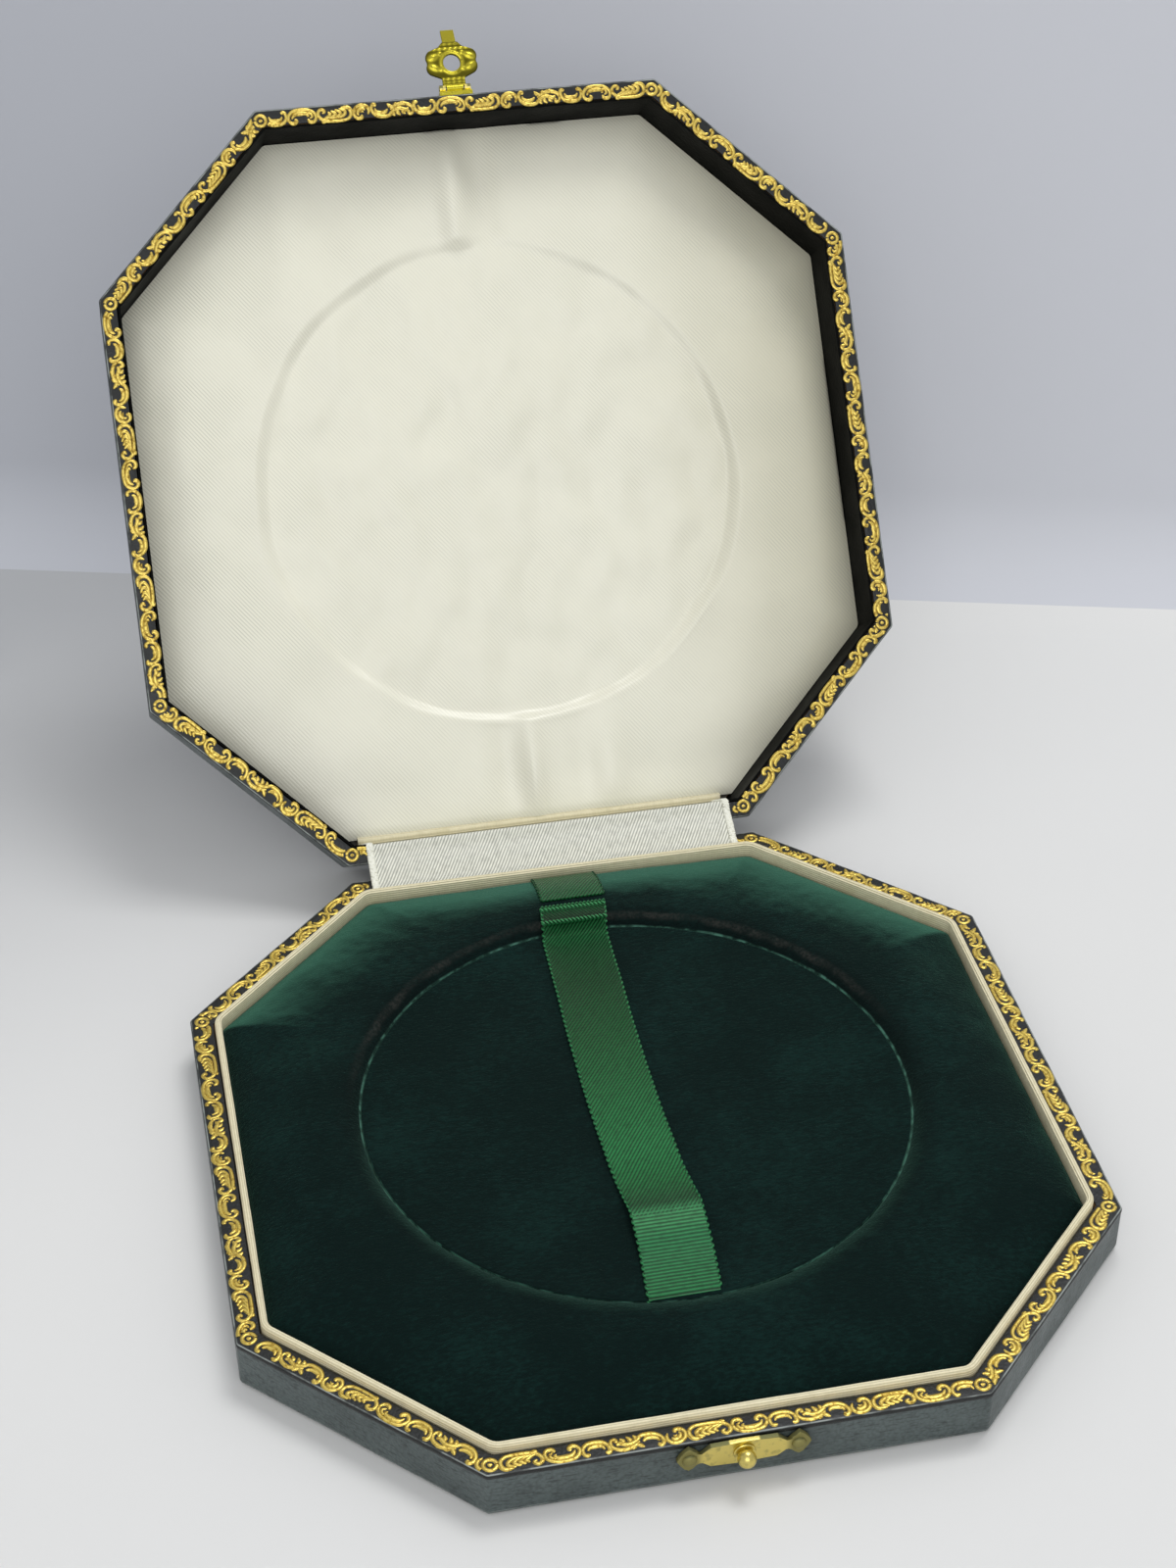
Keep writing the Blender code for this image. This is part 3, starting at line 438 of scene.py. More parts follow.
@dataclass(frozen=True)
class Velvet(Finish):
    """Silk velvet: a deep pile that is nearly black seen along its lean and glows where it turns away, a glow
    partly painted into its colour.
    """

    light: str = "#0f2c28"
    # Painted sheen: the lighter colour of faces that look back, where the pile glows at grazing angles.
    painted_sheen: str = "#3a6b58"
    # Painted shade for the valley just outside the recess's edge.
    deep: str = "#030a0a"
    crushed: str = "#3a3a36"
    rubbed: str = "#6aa48f"
    sheen: str = "#8fd0b8"
    crease_radius: float = RECESS_RADIUS + 0.1 * MM
    crease_width: float = 0.26 * MM
    crush_out: float = 2.1 * MM
    crush_width: float = 0.85 * MM

    def paint(self, board: Board) -> None:
        """Draw the nap, its brushed streaks and a painted sheen on the shoulder's faces that look back.

        Args:
            board: The material's nodes.
        """
        place = board.add("TexCoord", output="Object")
        nap = board.add("Mapping", {"Vector": place, "Scale": (0.4, 1.0, 1.0),
                                    "Rotation": (0.0, 0.0, math.radians(-4))})
        streak = board.add("TexNoise", {"Vector": nap, "Scale": 1 / (0.45 * MM), "Detail": 3.0,
                                        "Roughness": 0.7})
        cloud = board.add("TexNoise", {"Vector": place, "Scale": 1 / (14 * MM), "Detail": 3.0})
        tuft = board.add("TexNoise", {"Vector": place, "Scale": 1 / (0.22 * MM), "Detail": 2.0})
        lean = board.add("Math", (cloud, 0.7, streak), **TIMES_PLUS)
        shown = board.add("MapRange", {0: lean, 1: 0.75, 2: 1.15, 4: 0.65})
        pile = board.add("Mix", {0: shown, 6: linear(self.colour), 7: linear(self.light)})
        # Painted sheen: faces that look back, and a little to the right, turn lighter, less so near the
        # crease.
        world_facing = board.add("NewGeometry", output="Normal")
        facing = board.add("VectorTransform", (world_facing,), vector_type="NORMAL", convert_from="WORLD",
                           convert_to="OBJECT")
        back = board.add("VectorMath", (facing, (0.1, 1.0, 0.0)), operation="DOT_PRODUCT")
        painted_sheen_facing = board.add("Math", (lean, 0.07, back), **TIMES_PLUS)
        flat = board.add("VectorMath", (place, (1.0, 1.0, 0.0)), 0, **TIMES)
        out = board.add("VectorMath", (flat, (*RECESS_CENTRE, 0.0)), operation="DISTANCE")
        off = board.add("Math", (out, self.crease_radius), **LESS)
        past_brow = board.add("MapRange", (off, 2.5 * MM, 5.5 * MM, 0.16, 0.8))
        painted_sheen = board.add("MapRange", {0: painted_sheen_facing, 1: 0.07, 2: 0.38, 4: past_brow})
        pile = board.add("Mix", {0: painted_sheen, 6: pile, 7: linear(self.painted_sheen)})
        bump = board.add("Bump", {"Height": tuft, "Distance": 0.12 * MM, "Strength": 0.8})
        soft = board.add("Bump", {"Height": lean, "Distance": 0.3 * MM, "Strength": 0.6, "Normal": bump})
        board.dress({"Base Color": self.creased(board, pile, place, off), "Normal": soft,
                     "Sheen Weight": 0.25, "Sheen Roughness": 0.3, "Sheen Tint": linear(self.sheen),
                     "Specular IOR Level": 0.1})

    def creased(self, board: Board, pile: Socket, place: Socket, off: Socket) -> Socket:
        """Draw the painted shade in the valley round the recess, the rubbed crease and the crushed brown
        band.

        Args:
            board: The material's nodes.
            pile: The velvet's colour so far.
            place: Where a point lies in the model.
            off: How far outside the recess's edge it lies.

        Returns:
            The finished colour.
        """
        # Painted shade: the pile darkens towards the recess's edge, where the shoulder falls into a shaded
        # valley.
        dark = board.add("MapRange", {0: off, 1: 5 * MM, 2: 0.5 * MM, 4: 0.5})
        dark = board.add("MapRange", {0: off, 1: -0.3 * MM, 2: 0.1 * MM, 4: dark})
        pile = board.add("Mix", {0: dark, 6: pile, 7: linear(self.deep)})

        depth = board.add("SeparateXYZ", (place,), "Y")
        fuzz = board.add("TexNoise", {"Vector": place, "Scale": 1 / (1.6 * MM), "Detail": 4.0})
        broken = board.add("MapRange", (fuzz, 0.38, 0.64, 0.1, 0.8))
        near = board.add("MapRange", (depth, 24 * MM, -10 * MM, 0.8))
        shown = board.add("Math", (near, broken), **TIMES)
        rub = board.stripe(off, 0.0, self.crease_width, 0.1, shown)
        pile = board.add("Mix", {0: rub, 6: pile, 7: linear(self.rubbed)})

        tufts = board.add("TexNoise", {"Vector": place, "Scale": 1 / (0.5 * MM), "Detail": 4.0})
        clump = board.add("MapRange", (tufts, 0.4, 0.6, 0.4))
        parted = board.add("TexNoise", {"Vector": place, "Scale": 1 / (5 * MM), "Detail": 4.0})
        patches = board.add("MapRange", (parted, 0.4, 0.6, 0.2, 0.5))
        behind = board.add("MapRange", {0: depth, 1: 4 * MM, 2: 28 * MM, 4: patches})
        shown = board.add("Math", (behind, clump), **TIMES)
        strayed = board.add("Math", (parted, 1.2 * MM, off), **TIMES_PLUS)
        crush = board.stripe(strayed, self.crush_out, self.crush_width, 0.2, shown)
        return board.add("Mix", {0: crush, 6: pile, 7: linear(self.crushed)})


@dataclass(frozen=True)
class Satin(Finish):
    """Duchess satin over wadding: a fine diagonal twill, and painted shade that darkens and yellows its right
    side.
    """

    shade: str = "#c3c2b0"
    shaded_side: str = "#cfcbb2"
    shaded_side_from: float = 18 * MM
    shaded_side_to: float = 58 * MM
    twill_pitch: float = 0.5 * MM
    twill_slant: float = -38.0

    def paint(self, board: Board) -> None:
        """Draw the twill, the painted shade on the right side and the satin's gloss.

        Args:
            board: The material's nodes.
        """
        twill = board.lines(self.twill_pitch, self.twill_slant, 0.1 * MM)
        place = board.add("TexCoord", output="UV")
        across = board.add("SeparateXYZ", (place,), "X")
        away = board.add("Math", (across,), **SIZE_OF)
        cloud = board.add("TexNoise", {"Vector": place, "Scale": 1 / (14 * MM), "Detail": 4.0})
        clear = board.add("MapRange", (away, 26 * MM, 56 * MM, 0.5))
        shown = board.add("MapRange", (cloud, 0.35, 0.65, 0.3, 0.8))
        shown = board.add("Math", (shown, clear), **TIMES)
        weave = board.add("MapRange", {0: twill, 1: 0.6, 2: 0.0, 4: shown})
        # Painted shade: the right side turns darker and yellower.
        tone_shift = board.add("MapRange", {0: across, 1: self.shaded_side_from, 2: self.shaded_side_to, 4: 0.8})
        cloth = board.add("Mix", {0: tone_shift, 6: linear(self.colour), 7: linear(self.shaded_side)})
        cloth = board.add("Mix", {0: weave, 6: cloth, 7: linear(self.shade)})
        bump = board.add("Bump", {"Height": twill, "Distance": 0.02 * MM, "Strength": 0.6})
        board.dress({"Base Color": cloth, "Normal": bump, "Anisotropic": 0.5, "Sheen Weight": 0.15,
                     "Sheen Roughness": 0.4})


@dataclass(frozen=True)
class Brass(Finish):
    """Stamped sheet brass with its lacquer gone: yellow where rubbed, olive tarnish in the corners."""

    tarnish_and_shade: str = "#6f6a36"
    tarnish_from: float = 5.2 * MM
    tarnish_full: float = 6.6 * MM
    tarnish_share: float = 0.75
    spot_share: float = 0.6
    top_share: float = 0.0
    relief: float = 0.02 * MM
    darkening_attribute: str = ""

    def paint(self, board: Board) -> None:
        """Draw the tarnish towards the ends and in the hollows, painted shade on the hasp's tab, darker
        upward faces, the spots and the fine scratches.

        Args:
            board: The material's nodes.
        """
        place = board.add("TexCoord", output="Object")
        across = board.add("SeparateXYZ", (place,), "X")
        away = board.add("Math", (across,), **SIZE_OF)
        dull = board.add("MapRange", {0: away, 1: self.tarnish_from, 2: self.tarnish_full,
                                      4: self.tarnish_share})
        spots = board.add("TexNoise", {"Vector": place, "Scale": 1 / (0.9 * MM), "Detail": 5.0})
        patch = board.add("MapRange", {0: spots, 1: 0.52, 2: 0.72, 4: self.spot_share})
        # Darker on faces that look up, except near the stud.
        facing = board.add("NewGeometry", output="Normal")
        upward = board.add("SeparateXYZ", (facing,), "Z")
        top_darkened = board.add("MapRange", {0: upward, 1: 0.35, 2: 0.8, 4: self.top_share})
        off_stud = board.add("MapRange", {0: away, 1: 1.8 * MM, 2: 2.2 * MM, 4: top_darkened})
        layers = [patch, off_stud]
        if self.darkening_attribute:
            # The mesh's attribute brings tarnish in the hollows, and painted shade on the hasp's tab.
            layers.append(board.add("Attribute", output="Fac", attribute_name=self.darkening_attribute))
        for layer in layers:
            dull = board.add("Math", (dull, layer), operation="MAXIMUM")
        metal = board.add("Mix", {0: dull, 6: linear(self.colour), 7: linear(self.tarnish_and_shade)})
        rough = board.add("MapRange", {0: dull, 2: 0.8, 3: self.roughness, 4: self.roughness + 0.3})
        scratch = board.add("TexNoise", {"Vector": place, "Scale": 1 / (0.25 * MM), "Detail": 4.0})
        bump = board.add("Bump", {"Height": scratch, "Distance": self.relief, "Strength": 0.6})
        board.dress({"Base Color": metal, "Metallic": 1.0, "Roughness": rough, "Normal": bump})


@dataclass(frozen=True)
class Wood(Finish):
    """Planed beech: pale brown with fine darker grain along the rails."""

    grain: str = "#8a6640"

    def paint(self, board: Board) -> None:
        """Draw the grain.

        Args:
            board: The material's nodes.
        """
        place = board.add("TexCoord", output="Object")
        long = board.add("Mapping", {"Vector": place, "Scale": (0.12, 1.0, 1.0)})
        fibre = board.add("TexNoise", {"Vector": long, "Scale": 1 / (0.7 * MM), "Detail": 5.0})
        share = board.add("MapRange", {0: fibre, 1: 0.4, 2: 0.65, 4: 0.8})
        figure = board.add("Mix", {0: share, 6: linear(self.colour), 7: linear(self.grain)})
        bump = board.add("Bump", {"Height": fibre, "Distance": 0.03 * MM})
        board.dress({"Base Color": figure, "Normal": bump})


@dataclass(frozen=True)
class Paper(Finish):
    """Matt backdrop paper with painted shade that darkens its far side; a camera behind it sees through it.
    """

    shaded_colour: str = "#a8aaad"
    toward: tuple[float, float, float] = (0.5, -0.85, 0.0)
    far_place: float = -230 * MM
    near_place: float = -40 * MM

    def paint(self, board: Board) -> None:
        """Draw the painted shade that fades from the far side to the near one, and open the paper's back to
        the camera.

        Args:
            board: The material's nodes.
        """
        place = board.add("TexCoord", output="Object")
        across = board.add("VectorMath", (place, self.toward), operation="DOT_PRODUCT")
        share = board.add("MapRange", (across, self.far_place, self.near_place))
        tone = board.add("Mix", {0: share, 6: linear(self.shaded_colour), 7: linear(self.colour)})
        board.dress({"Base Color": tone})
        seen = board.add("LightPath", output="Is Camera Ray")
        behind = board.add("NewGeometry", output="Backfacing")
        opened = board.add("Math", (seen, behind), **TIMES)
        clear = board.add("BsdfTransparent")
        paper = board.add("MixShader", (opened, board.shader.outputs["BSDF"], clear))
        board.feed(board.tree.nodes["Material Output"], {"Surface": paper})


class Stock:
    """The finishes that the case is made of, each built once."""

    def __init__(self) -> None:
        """Build every finish under the record's name for its slot."""
        # Painted highlights and shade along the lift ribbon's run; past 90 mm lies the fixed tab behind it.
        light_and_shade_bands = tuple((place * MM, code) for place, code in (
            (0, "#267a45"), (11, "#297c49"), (13.8, "#3f8f58"), (15.2, "#3c8a55"), (17.5, "#1f5530"),
            (22.5, "#1f703a"), (29.5, "#267f45"), (44.5, "#206c39"), (54.5, "#195d2f"), (66.5, "#124a24"),
            (76.0, "#155028"), (83.0, "#226f3b"), (89.0, "#0d2b17"), (90.6, "#236239"), (100.0, "#236239")))
        finishes = {
            # The wall colour is partly painted light reflected from the table; the rim strip's black is
            # partly painted shade.
            "leather": Leather("goatskin_dark_green", "#535e5d", 0.42, has_strip=True),
            "lining_leather": Leather("paste_grain_lining_black", "#030403", 0.6, dark="#010201",
                                      pebble=0.5 * MM, shine=0.06),
            "gilt": GoldLeaf("tooled_gold_leaf", "#e2c868", 0.36),
            "wood": Wood("planed_beech", "#b08a5c", 0.7),
            "greyboard": Finish("pressed_greyboard", "#8b867c", 0.95),
            "cream_silk": Silk("ribbed_cream_silk", "#efe6c4", 0.55, shade="#c3b993", stain="#d0c498",
                               rib_pitch=0.42 * MM, thread_pitch=0.5 * MM, thread_share=0.1),
            "satin": Satin("cream_duchess_satin", "#edebd9", 0.32),
            "white_ribbon": Silk("white_rayon_grosgrain", "#f2f2e4", 0.5, shade="#8f9086", waver=0.0,
                                 rib_pitch=0.473 * MM, rib_slant=-28.8, relief=0.05 * MM,
                                 thread_pitch=0.3 * MM, thread_slant=90.0, thread_share=0.0),
            "velvet": Velvet("green_silk_velvet", "#041614", 0.9),
            "green_ribbon": Silk("green_taffeta_ribbon", "#1c6a37", 0.34, shade="#031407", light_and_shade_bands=light_and_shade_bands,
                                 rib_pitch=0.5 * MM, rib_slant=145.0, relief=0.12 * MM,
                                 thread_pitch=0.6 * MM, thread_slant=90.0, thread_share=0.15,
                                 lustre=0.1, shine=0.2, straight_run=14 * MM),
            "brass": Brass("stamped_brass_tarnished", "#dcca74", 0.3, tarnish_and_shade="#6c7050", spot_share=0.35,
                           top_share=0.9),
            # Its tarnish colour also paints shade on the hasp's tab.
            "gilt_brass": Brass("stamped_brass_gilt", "#c2b63a", 0.28, tarnish_and_shade="#2c2a08",
                                tarnish_from=3.4 * MM, tarnish_full=4.6 * MM, tarnish_share=0.3,
                                relief=0.05 * MM, darkening_attribute="darkening"),
            "steel": Brass("drawn_steel_wire", "#8c8c8e", 0.35, tarnish_and_shade="#5c5a58"),
        }
        self.materials = {slot: finish.build() for slot, finish in finishes.items()}

    def __getitem__(self, slot: str) -> bpy.types.Material:
        """Return the material of a slot."""
        return self.materials[slot]


def show_mesh(mesh: bpy.types.Mesh, material: bpy.types.Material, sharp: float) -> Piece:
    """Put a mesh in the scene.

    Args:
        mesh: The mesh, under the piece's name.
        material: Its finish.
        sharp: Edges steeper than this many degrees stay crisp.

    Returns:
        The new object.
    """
    mesh.shade_smooth()
    mesh.set_sharp_from_angle(angle=math.radians(sharp))
    mesh.materials.append(material)
    made = bpy.data.objects.new(mesh.name, mesh)
    bpy.context.scene.collection.objects.link(made)
    return made


class Maker:
    """Gathers grids of points into one mesh with a map in real metres."""

    def __init__(self) -> None:
        """Start empty."""
        self.points: list[Points] = []
        self.quads: list[Points] = []
        self.quad_maps: list[Points] = []
        self.caps: list[list[int]] = []
        self.count = 0

    def grid(self, points: Points, places: Points | None = None, ring: bool = False,
             tube: bool = False, caps: bool = False) -> "Maker":
        """Add a grid of points.

        Args:
            points: Rows x columns x 3.
            places: The map's place for each point; a ring has one more column and a tube one more row.
            ring: Whether the last column joins the first.
            tube: Whether the last row joins the first.
            caps: Whether the first and last rows are filled.

        Returns:
            The same maker.
        """
        rows, columns = points.shape[:2]
        if places is None:
            places = self.measured(points, ring, tube)
        index = np.arange(rows * columns).reshape(rows, columns) + self.count
        if tube:
            index = np.vstack([index, index[:1]])
        if ring:
            index = np.hstack([index, index[:, :1]])
        quads = np.stack([index[:-1, :-1], index[:-1, 1:], index[1:, 1:], index[1:, :-1]], axis=-1)
        maps = np.stack([places[:-1, :-1], places[:-1, 1:], places[1:, 1:], places[1:, :-1]], axis=-2)
        self.points.append(points.reshape(-1, 3))
        self.quads.append(quads.reshape(-1, 4))
        self.quad_maps.append(maps.reshape(-1, 2))
        if caps:
            self.caps.append([int(i) for i in index[0][:columns]][::-1])
            self.caps.append([int(i) for i in index[-1][:columns]])
        self.count += rows * columns
        return self

    def measured(self, points: Points, ring: bool, tube: bool) -> Points:
        """Lay the map out by distance along the rows and the columns.

        Args:
            points: Rows x columns x 3.
            ring: Whether the last column joins the first.
            tube: Whether the last row joins the first.

        Returns:
            Places in metres for every point.
        """
        if ring:
            points = np.hstack([points, points[:, :1]])
        if tube:
            points = np.vstack([points, points[:1]])
        across = np.linalg.norm(np.diff(points, axis=1), axis=2).mean(axis=0)
        down = np.linalg.norm(np.diff(points, axis=0), axis=2).mean(axis=1)
        u = np.concatenate([[0.0], np.cumsum(across)])
        v = np.concatenate([[0.0], np.cumsum(down)])
        return np.stack(np.meshgrid(u, v), axis=-1)

    def build(self, name: str, material: bpy.types.Material, sharp: float = 40.0,
              cap_shift: float = 0.0) -> Piece:
        """Make the mesh object.

        Args:
            name: The piece's name.
            material: Its finish.
            sharp: Edges steeper than this many degrees stay crisp.
            cap_shift: How far the filled ends' maps are moved down, clear of the map of a rim.

        Returns:
            The new object, in the scene.
        """
        points = np.vstack(self.points)
        quads = np.vstack(self.quads)
        mesh = bpy.data.meshes.new(name)
        mesh.from_pydata(points.tolist(), [], quads.tolist() + self.caps)
        cap_maps = [points[cap][:, :2] - (0.0, cap_shift) for cap in self.caps]
        maps = np.vstack([np.vstack(self.quad_maps), *cap_maps]).astype(np.float32)
        mesh.uv_layers.new(name="real_size").data.foreach_set("uv", maps.ravel())
        shape = bmesh.new()
        shape.from_mesh(mesh)
        bmesh.ops.recalc_face_normals(shape, faces=shape.faces)
        shape.to_mesh(mesh)
        shape.free()
        return show_mesh(mesh, material, sharp)


def run_along(line: Points) -> Points:
    """Return how far along a line each of its points lies."""
    return np.concatenate([[0.0], np.cumsum(np.linalg.norm(np.diff(line, axis=0), axis=1))])


def line_at(places: Points, run: Points, line: Points) -> Points:
    """Return the points that lie at some distances along a line in a plane."""
    return np.column_stack([np.interp(places, run, line[:, axis]) for axis in (0, 1)])


def directions(line: Points) -> Points:
    """Return the direction of a line at each of its points."""
    forward = np.gradient(line, axis=0)
    return forward / np.linalg.norm(forward, axis=1)[:, None]


def full_turn(sides: int) -> Points:
    """Return angles spread evenly round a circle."""
    return np.linspace(0, 2 * math.pi, sides + 1)[:-1]


def place_points(piece: Piece) -> Points:
    """Read the points of a mesh object, as points x 3."""
    points = np.zeros(len(piece.data.vertices) * 3)
    piece.data.vertices.foreach_get("co", points)
    return points.reshape(-1, 3)


def ruffle(piece: Piece, height: float, grain: float, seed: float = 0.0) -> None:
    """Move a piece's surface in and out a little, so that it isn't machine flat.

    Args:
        piece: A mesh object.
        height: How far a point may move, in metres.
        grain: Distance between bumps, in metres.
        seed: Where in the noise to start.
    """
    points = place_points(piece)
    normals = np.zeros(len(points) * 3)
    piece.data.vertex_normals.foreach_get("vector", normals)
    waves = [noise.noise(Vector(point) / grain + Vector((seed, 0.0, 0.0))) for point in points]
    points += normals.reshape(-1, 3) * (np.array(waves) * height)[:, None]
    piece.data.vertices.foreach_set("co", points.ravel())
    piece.data.update()


def settle(piece: Piece, body: str, replaced: tuple[str, ...] = (),
           opened: Matrix = AT_REST) -> Piece:
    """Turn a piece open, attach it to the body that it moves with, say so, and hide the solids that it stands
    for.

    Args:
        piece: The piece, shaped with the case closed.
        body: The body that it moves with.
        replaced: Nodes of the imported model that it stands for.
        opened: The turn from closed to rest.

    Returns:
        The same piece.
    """
    piece.data.transform(opened)
    piece.data.update()
    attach(piece, body)
    if replaced:
        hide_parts(*replaced)
    log.info("%s rides on %s", piece.name, body)
    return piece


@dataclass(frozen=True)
class Octagon:
    """The case's plan: four main sides, four shorter ones across the corners."""

    half: float = HALF
    main_side: float = MAIN_SIDE
    side_steps: int = 22
    corner_steps: int = 6
    middle_share: float = 0.5

    def side_length(self, side: int) -> float:
        """Return a side's length at the outer face."""
        cut_side = (2 * self.half - self.main_side) / math.sqrt(2)
        return cut_side if side % 2 else self.main_side

    def face_distance(self, side: int) -> float:
        """Return how far a side's outer face lies from the middle."""
        return (self.half + self.main_side / 2) / math.sqrt(2) if side % 2 else self.half

    def middle_place(self, side: int) -> float:
        """Return how far round the outer face a side's middle lies."""
        before = sum(self.side_length(index) for index in range(side))
        return before + self.side_length(side) * self.middle_share

    def stations(self, side: int, straight: float) -> Points:
        """Choose the points along a side's straight stretch.

        Args:
            side: The side's number.
            straight: Half the straight stretch.

        Returns:
            Distances from the side's middle, with a pair at each end of the rebate on the back.
        """
        if side != Side.BACK.value:
            return np.linspace(-straight, straight, self.side_steps + 1)
        low, high = REBATE_HALF - REBATE_EDGE, REBATE_HALF + REBATE_EDGE
        end = np.linspace(-straight, -high, 3)
        return np.concatenate([end, np.linspace(-low, low, self.side_steps + 1), -end[::-1]])

    def ring(self, inset: float, rounding: float) -> tuple[Points, Points]:
        """Draw the outline at an inset.

        Args:
            inset: Distance in from the outer face.
            rounding: Radius at the corners.

        Returns:
            Points x 2, and how far round each lies, with the whole way round as one more.
        """
        plan, along = [], []
        for side in range(8):
            facing = EIGHTH * side
            outward = np.array((math.cos(facing), math.sin(facing)))
            forward = np.array((-math.sin(facing), math.cos(facing)))
            trim = (inset + rounding) * math.tan(EIGHTH / 2)
            straight = self.side_length(side) / 2 - trim
            for station in self.stations(side, straight):
                plan.append(outward * (self.face_distance(side) - inset) + forward * station)
                along.append(self.middle_place(side) + station)
            centre = outward * (self.face_distance(side) - inset - rounding) + forward * straight
            gap = 2 * trim
            for step in range(1, self.corner_steps):
                turn = facing + EIGHTH * step / self.corner_steps
                plan.append(centre + rounding * np.array((math.cos(turn), math.sin(turn))))
                along.append(self.middle_place(side) + straight + gap * step / self.corner_steps)
        whole = self.middle_place(7) + self.side_length(7) * self.middle_share
        return np.array(plan), np.array(along + [along[0] + whole])

    def sweep(self, section: list[tuple[float, float]], roundings: list[float],
              tube: bool) -> tuple[Points, Points]:
        """Carry a section round the outline.

        Args:
            section: Inset and height of each point.
            roundings: Corner radius of each point's ring.
            tube: Whether the section closes on itself.

        Returns:
            Points as rows x columns x 3, and their real-size map.
        """
        rows, maps, travelled, before = [], [], 0.0, section[0]
        for point, rounding in zip(section, roundings):
            inset, height = point
            plan, along = self.ring(inset, rounding)
            travelled += math.dist(before, point)
            before = point
            rows.append(np.column_stack([plan, np.full(len(plan), height)]))
            maps.append(np.column_stack([along, np.full(len(along), travelled)]))
        if tube:
            travelled += math.dist(section[-1], section[0])
            maps.append(np.column_stack([maps[0][:, 0], np.full(len(maps[0]), travelled)]))
        return np.array(rows), np.array(maps)


PLAN = Octagon()


def arc(centre: tuple[float, float], radius: float, start: float, end: float, steps: int) -> list:
    """Draw an arc through some steps from one angle to another, in degrees."""
    turns = [math.radians(start + (end - start) * step / steps) for step in range(steps + 1)]
    return [(centre[0] + radius * math.cos(turn), centre[1] + radius * math.sin(turn)) for turn in turns]


@dataclass
class Leatherwork:
    """The two leather covers, turned in over the rims, with the lap of the rim strip on the walls."""

    stock: Stock
    thickness: float = 0.4 * MM
    foot_round: float = 1.0 * MM
    rim_round: float = 0.28 * MM
    corner_round: float = 0.9 * MM
    least_round: float = 0.2 * MM
    lap: float = 0.55 * MM
    lap_step: float = 0.06 * MM
    base_turn_in: float = 3.4 * MM
    lid_turn_in: float = 2.7 * MM

    def section(self, height: float, turn_in: float) -> list[tuple[float, float]]:
        """Draw a cover's section from its outer sheet round the wall and the rim to its inner face.

        Args:
            height: The wall's height.
            turn_in: How far the leather reaches in over the rim.

        Returns:
            Inset and height of each point.
        """
        step, edge = self.lap_step, height - self.lap
        points = arc((self.foot_round, self.foot_round), self.foot_round - step, -90, -180, 6)
        points += [(step, edge * share) for share in (0.3, 0.5, 0.7, 0.9)]
        points += [(step, edge - 0.05 * MM), (step / 3, edge), (0, edge + 0.06 * MM)]
        points += arc((self.rim_round, height - self.rim_round), self.rim_round, 180, 90, 4)
        points += [(turn_in * share, height) for share in (0.3, 0.6, 0.9)]
        points += [(turn_in, height - 0.05 * MM), (turn_in, height - self.thickness)]
        points += [(self.thickness, height - self.thickness), (self.thickness, self.thickness)]
        return points

    def cover(self, name: str, height: float, turn_in: float, rebate: float) -> Piece:
        """Shape a cover standing on its closed face.

        Args:
            name: The piece's name.
            height: The wall's height.
            turn_in: How far the leather reaches in over the rim.
            rebate: Height of the floor of the hinge's rebate in the back wall.

        Returns:
            The cover.
        """
        section = self.section(height, turn_in)
        roundings = [max(self.corner_round - inset, self.least_round) for inset, _ in section]
        points, maps = PLAN.sweep(section, roundings, False)
        rim_row = next(row for row, point in enumerate(section) if point[1] > height - 0.2 * self.rim_round)
        maps[..., 1] -= maps[rim_row, 0, 1]
        behind = (points[..., 1] > HALF - turn_in - MM) & (np.abs(points[..., 0]) < REBATE_HALF)
        points[..., 2] = np.where(behind, np.minimum(points[..., 2], rebate), points[..., 2])
        maker = Maker().grid(points, maps, ring=True, caps=True)
        made = maker.build(name, self.stock["leather"], 50, 2 * HALF)
        ruffle(made, 0.05 * MM, 7 * MM)
        return made

    def build(self) -> None:
        """Make both covers, and give the lid's lining its leather."""
        base = self.cover("base_leather", BASE_RIM, self.base_turn_in, REBATE_FLOOR)
        settle(base, "base", ("base_cover",))
        lid_rebate = LID_TOP - (2 * LID_HINGE.place.z - REBATE_FLOOR)
        lid = self.cover("lid_leather", LID_HEIGHT, self.lid_turn_in, lid_rebate)
        lid.data.transform(Matrix.Translation((0, 0, LID_TOP)) @ Matrix.Rotation(math.pi, 4, "Y"))
        settle(lid, "lid", ("lid_cover",), LID_OPEN)
        frame["nodes"]["lid_lining"].data.materials.clear()
        frame["nodes"]["lid_lining"].data.materials.append(self.stock["lining_leather"])


class Stroke(NamedTuple):
    """One line of gold: its points along and across the border, and its width at each."""

    points: Points
    widths: Points


